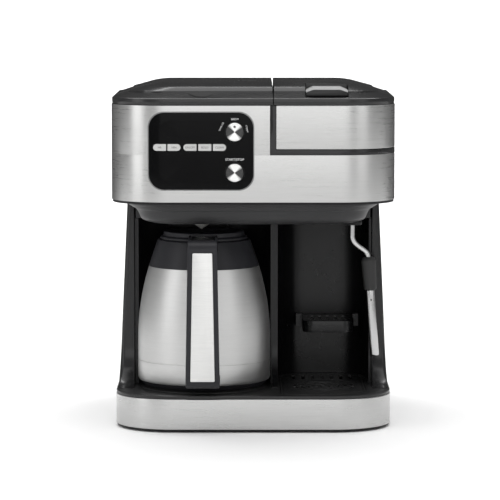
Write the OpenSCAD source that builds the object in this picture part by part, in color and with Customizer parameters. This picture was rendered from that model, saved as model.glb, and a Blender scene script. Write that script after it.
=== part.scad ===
// Combination coffee maker: a carafe side, a single-cup side and a steam wand, on one base.
// +Z is up, the front faces -Y, and the origin is on the floor under the middle of the whole machine.

/* [Body] */
// Width of the head
head_w = 318; // [314:1:324]
// Width of the base
base_w = 310; // [308:1:312]
// Depth from the base's front to the rear cover
body_d = 315; // [313:1:319]
// Top of the base's steel band above the floor
base_top = 37.5; // [36:0.5:38]
// Bottom of the head's steel band above the floor
head_bottom = 257.3; // [257:0.1:258]
// Top of the head's steel band above the floor
head_top = 364.2; // [364:0.1:366]
// Crown of the two lids above the floor
crown = 388; // [386:1:392]

/* [Corners] */
// Radius of the head's front corners
head_r = 64; // [60:1:66]
// Radius of the base's front corners
base_r = 66; // [62:1:68]

/* [Carafe] */
// Largest radius of the carafe's body
carafe_r = 75.3; // [74:0.1:75.6]
// How far the carafe slides out
carafe_travel = 200; // [150:10:240]

/* [Controls] */
// Radius of the mode dial
dial_r = 10.3; // [9:0.1:11]
// Height of a key
key_h = 7.5; // [7:0.1:8]
// Width of a key
key_w = 14.4; // [14:0.1:14.6]

/* [Hidden] */
$fn = 96;
front = -145;                 // front plane of the base and the head
rear = front + body_d;        // rear face of the machine
steel = 0.8;                  // thickness of the steel bands
wall = 2.5;                   // thickness of the plastic shells
gap = 0.3;                    // clearance between neighbouring shells
hx = head_w / 2;
bx = base_w / 2;

pan_bottom = 2;
deck_under = base_top + gap;
deck_top = 41;

tower_front = front + 110;    // front faces of the cheeks and the divider
cheek_in = 135.2;
cheek_foot_x = 153.3;
cheek_top_x = 143.6;
cheek_rear = rear - 22.2;
tower_floor = deck_top + gap;
tower_top = 254.2;
foot_run = 43;                // radius of the sweep from the deck up to a cheek

carafe_x = -56;
brew_x = -58.5;
brew_y = front + 95;
carafe_y = front + 95;
bay_r = 77;
pod_x = 80;
pod_y = front + 86;

alcove_x = 80.2;
alcove_half = 52.1;
alcove_deep = 90;
liner_top = 230.6;
floor_z = 231;                // underside of the brew floor

seam_x0 = 18.6;               // vertical seam between the two halves of the head
seam_x1 = 25.6;
seam_z0 = 309.5;              // horizontal seam under the lifting pod head
seam_z1 = 316;
split_x = 22.1;               // gap between the brew lid and the pod head
jaw_rear = 60;                // rear edge of the brew lid and of the pod head
head_rear = 114.5;
rim_top = 372;
hinge_y = 66;
lid_hinge_z = 378;
pod_hinge_z = 372;
pin_r = 2;
run = 0.1;                    // radial clearance of a pin in its bore

tank_half = 126;
tank_y0 = 120.5;
tank_y1 = rear - 0.5;
tank_z0 = 176;
tank_z1 = 365;
port_x = -60;
port_y = 145;
shelf_z = 172;

panel_x0 = -116.6;
panel_x1 = 1.2;
panel_z0 = 270.4;
panel_z1 = 357.8;
panel_r = 17.5;
dial_x = -20.5;
dial_z = 335.6;
start_z = 290.5;
key_z = 318.3;
key_x = [-103.3, -87.4, -69.8, -53.4, -37.2];   // middle of each key
key_ends = [[1, 0], [0, 1], [1, 0], [0, 0], [0, 1]]; // round left end, round right end

shelf_x0 = 57.2;
shelf_x1 = 115.8;
shelf_pin_y = 41;
shelf_pin_z = 107;

wand_x = 112;
wand_y = front + 75;
wand_tilt = 3.9;              // lean of the wand's straight stretch
wand_top = [130.2, wand_y, 190];
wand_r = 2.9;
grip_len = 37.5;
sleeve_len = 75;
sleeve_r = 4.9;

handle_y = -171.2;
handle_z0 = 51.7;
handle_z1 = 217;
collar_z = 178.7;
collar_top = 209;
gland_x = 112;
gland_z = 62;

// ---------- outlines ----------

// Rounded rectangle; r lists the radii front left, front right, rear right, rear left.
module outline(x0, x1, y0, y1, r) {
  polygon([
    [x0 + r[0], y0], [x1 - r[1], y0], [x1, y0 + r[1]], [x1, y1 - r[2]],
    [x1 - r[2], y1], [x0 + r[3], y1], [x0, y1 - r[3]], [x0, y0 + r[0]]
  ]);
  translate([x0 + r[0], y0 + r[0]]) circle(r[0]);
  translate([x1 - r[1], y0 + r[1]]) circle(r[1]);
  translate([x1 - r[2], y1 - r[2]]) circle(r[2]);
  translate([x0 + r[3], y1 - r[3]]) circle(r[3]);
}

module block(x0, x1, y0, y1, z0, z1) {
  translate([x0, y0, z0]) cube([x1 - x0, y1 - y0, z1 - z0]);
}

module slab(z0, z1) {
  translate([0, 0, z0]) linear_extrude(z1 - z0) children();
}

// The head's outline, moved in by inset.
module head_plan(inset) {
  outline(-hx + inset, hx - inset, front + inset, head_rear - inset * 0.2,
    [head_r - inset, head_r - inset, 16, 16]);
}

// The base's outline, moved in by inset.
module base_plan(inset) {
  outline(-bx + inset, bx - inset, front + inset, rear - 1 - inset,
    [base_r - inset, base_r - inset, 26 - inset, 26 - inset]);
}

// Cylinder along X or Y.
module rod_x(x0, x1, y, z, r) {
  translate([x0, y, z]) rotate([0, 90, 0]) cylinder(r = r, h = x1 - x0);
}
module rod_y(x, y0, y1, z, r) {
  translate([x, y0, z]) rotate([-90, 0, 0]) cylinder(r = r, h = y1 - y0);
}

// Tube of radius r through a list of points, with a ball-shaped elbow at each bend.
module pipe(points, r, swell = 1) {
  for (i = [0 : len(points) - 2]) {
    span = points[i + 1] - points[i];
    length = norm(span);
    translate(points[i])
      rotate([0, acos(span[2] / length), atan2(span[1], span[0])])
        cylinder(r = r, h = length);
  }
  for (i = [1 : len(points) - 2]) translate(points[i]) sphere(r = r + swell);
}

// A thin sheet that follows the head's front, from out_by outside to in_by inside it.
module head_skin(out_by, in_by, z0, z1) {
  difference() {
    slab(z0, z1) head_plan(-out_by);
    slab(z0 - 1, z1 + 1) head_plan(in_by);
  }
}

// A prism along Y with the given outline in X and Z.
module front_prism(y0, y1) {
  translate([0, y1, 0]) rotate([90, 0, 0]) linear_extrude(y1 - y0) children();
}

// ---------- base ----------

boss_at = [[-139, -40], [139, -40], [-139, 80], [139, 80], [-70, 150], [70, 150]];
foot_at = [[-112, -95], [112, -95], [-122, 135], [122, 135]];

module base_pan() {
  color([0.09, 0.09, 0.095]) difference() {
    union() {
      difference() {
        slab(pan_bottom, base_top - 0.2) base_plan(1);
        slab(pan_bottom + wall, base_top + 1) base_plan(1 + wall);
      }
      for (p = boss_at) translate([p[0], p[1], pan_bottom]) cylinder(r = 6, h = 32);
      for (y = [-96, -20]) block(48, 112, y, y + 3, pan_bottom + 1, 11.8);
    }
    for (p = foot_at) translate([p[0], p[1], pan_bottom - 1]) cylinder(r = 9.8, h = 2.5);
    for (p = boss_at) translate([p[0], p[1], pan_bottom - 1]) {
      cylinder(r = 2.2, h = 40);
      cylinder(r = 4.2, h = 4);
    }
    for (i = [-6 : 6]) block(i * 14 - 2, i * 14 + 2, 62, 112, 0, 6);
  }
}

module base_band() {
  color([0.78, 0.78, 0.78]) difference() {
    slab(pan_bottom + 1.5, base_top) base_plan(0);
    slab(0, base_top + 1) base_plan(steel);
    block(-bx - 1, bx + 1, rear - 30, rear + 10, 0, base_top + 1);
  }
}

module tray_plan(inset) {
  outline(31 + inset, 127 - inset, front + 15 + inset, front + 189 - inset,
    [12 - inset, 40 - inset, 34 - inset, 34 - inset]);
}

module base_deck() {
  color([0.07, 0.07, 0.075]) difference() {
    union() {
      slab(deck_under, deck_top) base_plan(0.4);
      slab(33, deck_under) difference() {
        base_plan(4);
        base_plan(6);
      }
      for (p = boss_at) translate([p[0], p[1], 34.2]) cylinder(r = 6, h = 4);
    }
    translate([carafe_x, carafe_y, deck_top - 2]) cylinder(r = 72, h = 5);
    slab(30, deck_top + 1) tray_plan(-0.6);
    for (p = boss_at) translate([p[0], p[1], 30]) cylinder(r = 2.1, h = 9);
    block(-100, 100, 60, 118, 30, deck_top + 1);
  }
}

module feet() {
  color([0.12, 0.12, 0.12])
    for (p = foot_at) translate([p[0], p[1], 0]) cylinder(r = 9.5, h = 3.4);
}

module screws() {
  color([0.6, 0.6, 0.62]) for (p = boss_at) translate([p[0], p[1], pan_bottom + 0.4]) {
    difference() {
      cylinder(r = 3.8, h = 2.4);
      translate([-3, -0.5, -1]) cube([6, 1, 2]);
      translate([-0.5, -3, -1]) cube([1, 6, 2]);
    }
    translate([0, 0, 2.4]) cylinder(r = 1.9, h = 31);
  }
}

module rest_plate() {
  color([0.05, 0.05, 0.055]) translate([carafe_x, carafe_y, deck_top - 1.9]) difference() {
    union() {
      cylinder(r = 71.5, h = 2.5);
      cylinder(r = 67, h = 3.2);
    }
    translate([0, 0, 2.5]) cylinder(r = 64, h = 2);
  }
}

module drip_tray() {
  color([0.06, 0.06, 0.065]) difference() {
    union() {
      slab(12, 38.6) tray_plan(2);
      slab(38.6, deck_top) tray_plan(0);
    }
    slab(14, deck_top + 1) tray_plan(4);
    slab(39, deck_top + 1) tray_plan(2.5);
  }
}

grid_slots = [8, 16, 24, 32];   // inner radius of each ring of slots

module drip_grid() {
  color([0.05, 0.05, 0.05]) difference() {
    slab(39.1, deck_top) tray_plan(2.9);
    for (r = grid_slots) translate([pod_x, pod_y, 38]) difference() {
      cylinder(r = r + 3, h = 4);
      translate([0, 0, -1]) cylinder(r = r, h = 6);
      for (a = [0, 60, 120]) rotate(a + r * 2) translate([-40, -2, -1]) cube([80, 4, 6]);
    }
    translate([pod_x, pod_y, 38]) cylinder(r = 3, h = 4);
    for (i = [-3 : 3]) block(pod_x + i * 11 - 2, pod_x + i * 11 + 2, front + 142, front + 176, 38, 42);
  }
}

// ---------- tower ----------

// Solid between the inner plane of a cheek and its sloping outside, less skin all round.
module cheek_wedge(skin, inner, y0, y1) {
  low = tower_floor + skin;
  high = tower_top - skin;
  translate([0, y1, 0]) rotate([90, 0, 0]) linear_extrude(y1 - y0) polygon([
    [inner, low], [cheek_foot_x - skin, low], [cheek_top_x - skin, high], [inner, high]
  ]);
}

// Concave sweep, in Y and Z, from the deck up to the front of the tower.
module foot_sweep(x0, x1) {
  difference() {
    block(x0, x1, tower_front - foot_run, tower_front + 0.01, tower_floor, tower_floor + foot_run);
    rod_x(x0 - 1, x1 + 1, tower_front - foot_run, tower_floor + foot_run + 1.2, foot_run);
  }
}

module cheek() {
  color([0.08, 0.08, 0.085]) difference() {
    union() {
      cheek_wedge(0, cheek_in, tower_front, cheek_rear);
      intersection() {
        foot_sweep(cheek_in, cheek_foot_x);
        cheek_wedge(0, cheek_in, tower_front - foot_run, tower_front + 1);
      }
    }
    cheek_wedge(wall, cheek_in - 1, tower_front + wall, cheek_rear + 1);
  }
}
module right_cheek() { cheek(); }
module left_cheek() { mirror([1, 0, 0]) cheek(); }

// Half of a fourth-power oval: the plan of the single-cup alcove.
function alcove_points(grow) = [
  for (i = [0 : 24]) let (a = i * 7.5, c = cos(a), s = sin(a)) [
    alcove_x + (alcove_half + grow) * sign(c) * sqrt(abs(c)),
    tower_front + (alcove_deep + grow) * sqrt(s)
  ]
];

module bay_liner() {
  color([0.045, 0.045, 0.05]) difference() {
    union() {
      slab(tower_floor, liner_top) difference() {
        union() {
          difference() {
            translate([carafe_x + 0.5, carafe_y]) circle(bay_r + wall);
            translate([-200, -200]) square([400, 200 + tower_front]);
          }
          polygon(alcove_points(wall));
          translate([20, tower_front]) square([8, 4]);
          translate([-135, tower_front]) square([5, 4]);
        }
        translate([carafe_x + 0.5, carafe_y]) circle(bay_r);
        polygon(concat(alcove_points(0), [[alcove_x - alcove_half, -60], [alcove_x + alcove_half, -60]]));
      }
      foot_sweep(21.8, 27.8);
      block(shelf_x0 - 7, shelf_x0 - 0.4, 35, 56, 99, 113);
      block(shelf_x1 + 0.4, shelf_x1 + 7, 35, 56, 99, 113);
      block(shelf_x0 - 7, shelf_x1 + 7, 40.4, 56, 98, 102);
    }
    rod_x(shelf_x0 - 5, shelf_x1 + 5, shelf_pin_y, shelf_pin_z, pin_r + run);
  }
}

module rear_frame() {
  color([0.1, 0.1, 0.105]) difference() {
    union() {
      block(-134.5, 134.5, 115, 117.5, shelf_z, 363);
      block(-134.5, 134.5, 117, cheek_rear, shelf_z, shelf_z + 3);
      slab(shelf_z, shelf_z + 3) outline(-149, 149, cheek_rear + 0.5, rear - 1.6, [2, 2, 9.5, 9.5]);
      block(-134.5, 134.5, cheek_rear - 1, cheek_rear + 1, shelf_z, shelf_z + 3);
      for (s = [-1, 1]) block(s * 130.5 - 1.25, s * 130.5 + 1.25, 117, cheek_rear, shelf_z, tower_top);
    }
    translate([port_x, port_y, shelf_z - 1]) cylinder(r = 9, h = 5);
  }
}

module rear_cover() {
  color([0.09, 0.09, 0.095]) difference() {
    slab(tower_floor + 0.2, shelf_z - 0.3)
      outline(-150, 150, cheek_rear + 0.5, rear - 1.2, [2, 2, 10, 10]);
    slab(tower_floor + wall, shelf_z + 1)
      outline(-147.5, 147.5, cheek_rear - 10, rear - 1.2 - wall, [2, 2, 7.5, 7.5]);
    for (row = [0 : 1], i = [-5 : 5])
      block(i * 13 - 2 - 20, i * 13 + 2 - 20, rear - 10, rear + 5, 70 + row * 44, 102 + row * 44);
    rod_y(gland_x, rear - 10, rear + 5, gland_z, 7);
  }
}

module cord_gland() {
  color([0.05, 0.05, 0.05]) difference() {
    union() {
      rod_y(gland_x, rear - 8, rear - 1.2, gland_z, 6.8);
      rod_y(gland_x, rear - 1.1, rear + 2, gland_z, 10.5);
      rod_y(gland_x, rear - 2, rear, gland_z, 6.8);
    }
    rod_y(gland_x, rear - 9, rear + 3, gland_z, 3.6);
  }
}

module water_pump() {
  color([0.85, 0.83, 0.78]) union() {
    block(-114, -76, 42, 80, 66, 104);
    translate([-95, 61, 50]) cylinder(r = 15, h = 74);
    translate([-95, 61, 120]) cylinder(r = 4, h = 24);
    rod_y(-95, 79, 88, 85, 4);
    block(-118, -72, 46, 76, tower_floor, tower_floor + 9);
  }
}

module brew_heater() {
  color([0.7, 0.7, 0.72]) union() {
    block(-50, 30, 62, 96, 62, 100);
    for (s = [-1, 1]) rod_y(-10 + s * 26, 56, 104, 81, 6);
    translate([-10, 79, 99]) cylinder(r = 9, h = 20);
    for (s = [-1, 1]) block(-13 + s * 28, -7 + s * 28, 72, 86, tower_floor, 63);
  }
}

module steam_boiler() {
  color([0.75, 0.75, 0.77]) union() {
    translate([75, 92, 60]) cylinder(r = 25, h = 88);
    for (z = [72, 136]) translate([75, 92, z]) cylinder(r = 28, h = 5);
    translate([75, 92, 148]) cylinder(r = 5, h = 12);
    translate([75, 92, tower_floor]) cylinder(r = 12, h = 20);
  }
}

module power_board() {
  color([0.1, 0.35, 0.18]) union() {
    block(-60, 34, 138, 139.6, 52, 160);
    block(-50, -26, 122, 139, 60, 84);
    block(-10, 22, 128, 139, 110, 146);
    for (i = [0 : 2]) rod_y(-40 + i * 16, 126, 139, 128, 6);
  }
}

module hoses() {
  color([0.85, 0.86, 0.84]) {
    pipe([[port_x, port_y, 168.5], [port_x, port_y, 152], [-95, 110, 138], [-95, 110, 85], [-95, 88.2, 85]], 3.5);
    pipe([[-95, 61, 144.2], [-95, 61, 196], [-95, 98, 215], [-95, 98, 330]], 3);
    pipe([[75, 92, 160.2], [75, 92, 258], [122, 75, 264], [125, -64, 262], [125, -64, 257.2]], 3);
  }
}

// ---------- head ----------

module panel_shape(grow) {
  outline(panel_x0 - grow, panel_x1 + grow, panel_z0 - grow, panel_z1 + grow,
    [panel_r + grow, panel_r + grow, panel_r + grow, panel_r + grow]);
}

module pod_region(y_end, z_low) {
  block(seam_x0 - 0.2, 200, front - 10, y_end, z_low, 400);
}

module head_chassis() {
  color([0.13, 0.13, 0.135]) difference() {
    union() {
      difference() {
        slab(tower_top + 0.3, head_top - 0.2) head_plan(1);
        slab(tower_top + 0.3 + wall, head_top + 1) head_plan(1 + wall);
      }
      translate([brew_x, brew_y, tower_top + 1]) cylinder(r = 66, h = 355 - tower_top - 1);
      block(seam_x0, hx - 2, 62, 64.5, seam_z0 - 8, head_top - 0.2);
    }
    translate([brew_x, brew_y, tower_top + 0.3 + wall]) cylinder(r = 64, h = 120);
    translate([brew_x, brew_y, 240]) cylinder(r = 46, h = 30);
    translate([pod_x, pod_y, 240]) cylinder(r = 30, h = 30);
    pod_region(62, seam_z0 - 0.2);
    block(-113, 113, 70, 105, 240, 260);
    front_prism(front - 5, front + 12) panel_shape(0.4);
  }
}

module head_band() {
  color([0.8, 0.8, 0.8]) difference() {
    head_skin(0, steel, head_bottom, head_top);
    pod_region(62, seam_z0);
    block(-200, 200, 100, 200, 200, 400);
    front_prism(front - 5, front + 12) panel_shape(gap);
  }
}

module pod_deck() {
  color([0.1, 0.1, 0.105]) difference() {
    union() {
      intersection() {
        union() {
          slab(seam_z0 + 0.1, seam_z1 - 0.2) head_plan(0);
          difference() {
            slab(seam_z0 + 0.1, head_top - 0.1) head_plan(0);
            block(seam_x1 - 0.2, 200, front - 5, 100, seam_z1 - 0.2, 400);
          }
        }
        block(seam_x0 + 0.1, 200, front - 5, 61.8, 300, 400);
      }
      translate([pod_x, pod_y, 262]) cylinder(r = 39.5, h = 52);
    }
    translate([pod_x, pod_y, 264]) cylinder(r = 37, h = 60);
    translate([pod_x, pod_y, 255]) cylinder(r = 12, h = 20);
  }
}

// Height, side inset and front inset of the brew floor's flank, from the bottom up.
floor_steps = [[floor_z, 46, 20], [236, 33.8, 14], [247, 28.3, 11], [tower_top, 16, 8]];

module floor_ring(step, skin) {
  edge = step[1] + skin;
  corner = 56 - step[1] * 0.5;
  lift = step[0] == floor_z ? skin : skin * 0.1;
  slab(step[0] + lift - 0.1, step[0] + lift)
    outline(edge - hx, hx - edge, front + step[2] + skin, 56 - skin, [corner, corner, 4, 4], $fn = 64);
}

// Loft of the brew floor: wide under the head, drawn in and rounded towards the bottom.
module floor_loft(skin) {
  for (i = [0 : len(floor_steps) - 2]) hull() {
    floor_ring(floor_steps[i], skin);
    floor_ring(floor_steps[i + 1], skin);
  }
}

module brew_floor() {
  color([0.2, 0.2, 0.205]) difference() {
    union() {
      difference() {
        floor_loft(0);
        floor_loft(wall);
        for (s = [-1, 1]) block(s * 150 - 15.4, s * 150 + 15.4, tower_front - 0.4, 100, 200, 260);
      }
      for (s = [-1, 1])
        block(s * 133.3 - 1.2, s * 133.3 + 1.2, tower_front - 0.4, 50, 247, tower_top - 0.4);
    }
    translate([brew_x, brew_y, 210]) cylinder(r = 14, h = 30);
    translate([pod_x, pod_y, 210]) cylinder(r = 16, h = 30);
    translate([wand_x, wand_y, 210]) cylinder(r = 8.6, h = 30);
  }
}

// Rim, sloping fascia and crown of the head's top, as one solid.
module top_form() {
  slab(head_top + 0.2, rim_top) head_plan(0.6);
  hull() {
    slab(rim_top - 0.1, rim_top) head_plan(2.5, $fn = 64);
    slab(377.5, 377.6) head_plan(20, $fn = 64);
  }
}

// Outline of both lids together, inside the fascia. Inset moves the front in, and side the two flanks.
module lids_plan(inset, side) {
  outline(-hx + 20 + side, hx - 20 - side, front + 20 + inset, jaw_rear,
    [head_r - 20 - inset * 0.3, head_r - 20 - inset * 0.3, 3, 3]);
}

module crown_form() {
  slab(rim_top + 0.3, 379.6) lids_plan(0, 0);
  hull() {
    slab(379.5, 379.6) lids_plan(0, 0, $fn = 64);
    slab(384, 384.1) lids_plan(7, 17, $fn = 64);
  }
  hull() {
    slab(384, 384.1) lids_plan(7, 17, $fn = 64);
    slab(crown - 0.1, crown) lids_plan(34, 40, $fn = 64);
  }
}

// A pair of ears and the barrel between them, on a hinge along X.
barrel_half = 5;
ear_w = 5.5;
reach = barrel_half + ear_w + 0.4;
lid_knuckles = [-105, -8];
pod_knuckles = [56, 128];

module ears(at, z) {
  for (x = at, s = [-1, 1]) {
    x0 = x + s * (barrel_half + 0.4 + ear_w / 2) - ear_w / 2;
    rod_x(x0, x0 + ear_w, hinge_y, z, 4.5);
    block(x0, x0 + ear_w, hinge_y - 4.5, hinge_y + 4.5, rim_top - 1, z);
  }
}

module barrels(at, z) {
  for (x = at) {
    rod_x(x - barrel_half, x + barrel_half, hinge_y, z, 4);
    block(x - barrel_half, x + barrel_half, jaw_rear - 2, hinge_y, z - 2, z + 4);
  }
}

module top_deck() {
  color([0.1, 0.1, 0.105]) difference() {
    union() {
      difference() {
        top_form();
        slab(rim_top, 400) lids_plan(-0.5, -0.5);
        block(split_x - 0.5, 200, front - 5, 61.8, 300, 400);
        block(-200, 200, jaw_rear, 200, rim_top, 400);
        slab(head_top - 1, rim_top - 3) head_plan(7);
      }
      ears(lid_knuckles, lid_hinge_z);
      ears(pod_knuckles, pod_hinge_z + 0.01);
    }
    translate([brew_x, brew_y, 350]) cylinder(r = 67, h = 40);
    translate([carafe_x - 1, front + 12, 391]) sphere(r = 20);
    for (x = lid_knuckles) rod_x(x - reach, x + reach, hinge_y, lid_hinge_z, pin_r);
    for (x = pod_knuckles) rod_x(x - reach, x + reach, hinge_y, pod_hinge_z, pin_r);
    for (x = pod_knuckles)
      block(x - barrel_half - 0.3, x + barrel_half + 0.3, jaw_rear, hinge_y + 5, rim_top - 6, rim_top + 8);
  }
}

module hinge_pins() {
  color([0.75, 0.75, 0.77]) {
    for (x = lid_knuckles) rod_x(x - reach, x + reach, hinge_y, lid_hinge_z, pin_r);
    for (x = pod_knuckles) rod_x(x - reach, x + reach, hinge_y, pod_hinge_z, pin_r);
  }
}

module brew_lid() {
  color([0.12, 0.12, 0.125]) difference() {
    union() {
      difference() {
        crown_form();
        block(split_x - 0.6, 200, -200, 200, 300, 400);
        slab(rim_top - 1, 381) difference() {
          lids_plan(4, 11);
          translate([split_x - 4, -200]) square([200, 400]);
        }
      }
      barrels(lid_knuckles, lid_hinge_z);
    }
    rod_x(-120, 10, hinge_y, lid_hinge_z, pin_r + run);
  }
}

module spray_head() {
  color([0.2, 0.2, 0.205]) translate([brew_x, brew_y, 0]) difference() {
    union() {
      translate([0, 0, 361]) cylinder(r = 42, h = 4);
      translate([0, 0, 364]) cylinder(r = 12, h = 17);
      translate([0, 0, 352]) cylinder(r = 40, h = 10);
    }
    translate([0, 0, 354]) cylinder(r = 38, h = 7);
    for (a = [0 : 45 : 315]) rotate(a) translate([26, 0, 350]) cylinder(r = 1.6, h = 5);
    for (a = [0 : 60 : 300]) rotate(a) translate([14, 0, 350]) cylinder(r = 1.6, h = 5);
  }
}

module filter_basket() {
  color([0.09, 0.09, 0.095]) translate([brew_x, brew_y, 0]) difference() {
    union() {
      rotate_extrude() polygon([
        [6, 243], [40, 243], [61, 352], [61, 355.2], [65.5, 355.2], [65.5, 358],
        [58.5, 358], [58.5, 353], [38, 245.5], [6, 245.5]
      ]);
      translate([0, 0, 232]) cylinder(r = 12, h = 12);
    }
    translate([0, 0, 230]) cylinder(r = 3.3, h = 30);
    translate([0, 0, 230]) cylinder(r = 8.4, h = 6);
  }
}

module drip_valve() {
  color([0.75, 0.74, 0.7]) translate([brew_x, brew_y, 0]) union() {
    translate([0, 0, 226]) cylinder(r = 3.2, h = 22);
    translate([0, 0, 220]) cylinder(r1 = 0.8, r2 = 8, h = 5);
    translate([0, 0, 225]) cylinder(r = 8, h = 3);
  }
}

module pod_holder() {
  color([0.14, 0.14, 0.145]) translate([pod_x, pod_y, 0]) difference() {
    union() {
      translate([0, 0, 275]) cylinder(r = 33, h = 42);
      translate([0, 0, 316]) cylinder(r = 42, h = 2.5);
    }
    translate([0, 0, 277]) cylinder(r = 31, h = 45);
    translate([0, 0, 270]) cylinder(r = 4, h = 10);
  }
}

module pod_nozzle() {
  color([0.16, 0.16, 0.165]) translate([pod_x, pod_y, 0]) difference() {
    union() {
      translate([0, 0, 251.5]) cylinder(r = 29, h = 6);
      translate([0, 0, 229.5]) cylinder(r = 13, h = 27);
      for (s = [-1, 1]) translate([s * 7, 0, 226.8]) cylinder(r = 4.5, h = 4);
    }
    translate([0, 0, 232]) cylinder(r = 10, h = 21);
    translate([0, 0, 252.9]) cylinder(r = 26, h = 6);
    for (s = [-1, 1]) translate([s * 7, 0, 224]) cylinder(r = 2.4, h = 10);
  }
}

// ---------- pod head, which lifts like a jaw ----------

latch_x0 = 57.6;
latch_x1 = 105.4;
latch_y0 = front + 6;
latch_y1 = front + 46;
latch_pin_y = front + 40;
latch_pin_z = 378;

module pod_cap() {
  color([0.12, 0.12, 0.125]) difference() {
    union() {
      difference() {
        union() {
          top_form();
          crown_form();
        }
        block(-200, split_x + 0.6, -200, 200, 300, 400);
        block(-200, 200, jaw_rear, 200, 300, 400);
        slab(head_top, 381.5) outline(30, hx - 36, front + 54, jaw_rear - 4, [4, 26, 4, 4]);
        slab(head_top - 0.1, 368.5) outline(30, hx - 8, front + 8, jaw_rear - 4, [4, 56, 4, 4]);
      }
      difference() {
        slab(seam_z1 + 0.2, head_top + 0.3) head_plan(1);
        slab(seam_z1 + 0.2 + wall, head_top - wall) head_plan(1 + wall);
        block(-200, seam_x1 + 0.4, -200, 200, 300, 400);
        block(-200, 200, jaw_rear, 200, 300, 400);
      }
      block(seam_x1 + 0.4, seam_x1 + 0.4 + wall, front + 2, jaw_rear, seam_z1 + 0.2, head_top + 0.3);
      block(seam_x1 + 1, hx - 2, jaw_rear - wall, jaw_rear, seam_z1 + 0.2, head_top + 0.3);
      barrels(pod_knuckles, pod_hinge_z);
    }
    translate([pod_x, pod_y, 310]) cylinder(r = 43, h = 10);
    block(latch_x0, latch_x1, latch_y0, latch_y1, 370, 400);
    rod_x(latch_x0 - 4, latch_x1 + 4, latch_pin_y, latch_pin_z, pin_r + run);
    rod_x(40, 150, hinge_y, pod_hinge_z, pin_r + run);
  }
}

module pod_panel() {
  color([0.8, 0.8, 0.8]) difference() {
    head_skin(0, steel, seam_z1, head_top);
    block(-200, seam_x1, -200, 200, 300, 400);
    block(-200, 200, jaw_rear, 200, 300, 400);
  }
}

module pod_press() {
  color([0.35, 0.35, 0.36]) translate([pod_x, pod_y, 0]) union() {
    translate([0, 0, 322]) cylinder(r = 30, h = 39.5);
    translate([0, 0, 319.3]) cylinder(r = 27, h = 3);
    translate([0, 0, 308]) cylinder(r1 = 0.4, r2 = 1.8, h = 12);
  }
}

module pod_latch() {
  x0 = latch_x0 + 0.6;
  x1 = latch_x1 - 0.6;
  arch = [[x1, 381], [x1 - 8, 384.5], [x0 + 8, 384.5], [x0, 381]];
  color([0.55, 0.55, 0.56]) union() {
    front_prism(latch_y0 + 5, latch_y0 + 9) polygon(concat([[x0, 374], [x1, 374]], arch));
    front_prism(latch_y0 + 8, latch_pin_y)
      polygon(concat([[x0, 378], [x0 + 8, 381.3], [x1 - 8, 381.3], [x1, 378]], arch));
    front_prism(latch_pin_y - 3, latch_pin_y + 3) polygon(concat([[x0, 376], [x1, 376]], arch));
    rod_x(latch_x0 - 3.5, latch_x1 + 3.5, latch_pin_y, latch_pin_z, pin_r);
  }
}

// ---------- wand ----------

wand_path = [
  [wand_x, wand_y, 231], [wand_x, wand_y, 211], [wand_x + 3, wand_y, 205], [wand_x + 8, wand_y, 201],
  [wand_x + 14, wand_y, 197], [wand_x + 17.4, wand_y, 193.5], wand_top
];
swell = 0.4;                  // how far the wand's elbows stand proud

module along_wand() {
  translate(wand_top) rotate([0, 180 - wand_tilt, 0]) children();
}

module wand_tube() {
  color([0.82, 0.82, 0.83]) union() {
    translate([wand_x, wand_y, 233]) sphere(r = 7.5);
    pipe(wand_path, wand_r, swell);
    translate(wand_top) sphere(r = wand_r + swell);
    along_wand() cylinder(r = wand_r, h = grip_len + sleeve_len - 12);
  }
}

module wand_grip() {
  color([0.08, 0.08, 0.085]) along_wand() difference() {
    union() {
      cylinder(r1 = 6.5, r2 = 8.4, h = 4);
      translate([0, 0, 4]) cylinder(r1 = 8.4, r2 = 7, h = grip_len - 4);
    }
    translate([0, 0, -1]) cylinder(r = wand_r + 0.05, h = grip_len + 2);
    sphere(r = wand_r + swell + 0.1);
  }
}

module wand_socket() {
  color([0.16, 0.16, 0.165]) translate([wand_x, wand_y, 0]) difference() {
    translate([0, 0, 226.6]) cylinder(r = 11, h = floor_z - 226.8);
    translate([0, 0, 220]) cylinder(r = 4.4, h = 12);
    translate([0, 0, 233]) sphere(r = 7.9);
  }
}

module frother_sleeve() {
  color([0.82, 0.82, 0.83]) along_wand() translate([0, 0, grip_len + 0.3]) difference() {
    cylinder(r = sleeve_r, h = sleeve_len);
    translate([0, 0, -1]) cylinder(r = 3.6, h = sleeve_len - 1.5);
    translate([0, 0, sleeve_len - 3]) cylinder(r = 1, h = 5);
    translate([0, -8, 11]) rotate([-90, 0, 0]) cylinder(r = 0.8, h = 6);
  }
}

// ---------- tank ----------

module tank_plan(inset) {
  outline(-tank_half + inset, tank_half - inset, tank_y0 + inset, tank_y1 - inset,
    [14 - inset, 14 - inset, 18 - inset, 18 - inset]);
}

module tank() {
  color([0.25, 0.26, 0.27, 0.5]) difference() {
    union() {
      slab(tank_z0, tank_z1) tank_plan(0);
      for (s = [-1, 1]) {
        block(s * 92 - 2, s * 92 + 2, 162, tank_y1 - 0.4, tank_z1 - 5, 369);
        rod_x(s * 92 - 2, s * 92 + 2, 165.5, 369, 3.4);
      }
    }
    slab(tank_z0 + wall, tank_z1 + 1) difference() {
      tank_plan(2.2);
      for (s = [-1, 1]) translate([s * 92 - 2, 161]) square([4, 20]);
    }
    translate([port_x, port_y, tank_z0 - 1]) cylinder(r = 6.9, h = 6);
    rod_x(-95, 95, 165.5, 369, 1.6);
  }
}

module tank_valve() {
  color([0.2, 0.2, 0.205]) translate([port_x, port_y, 0]) union() {
    translate([0, 0, 169]) cylinder(r = 6.7, h = 12);
    translate([0, 0, tank_z0 + wall + 0.1]) cylinder(r = 11, h = 4);
  }
}

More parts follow.
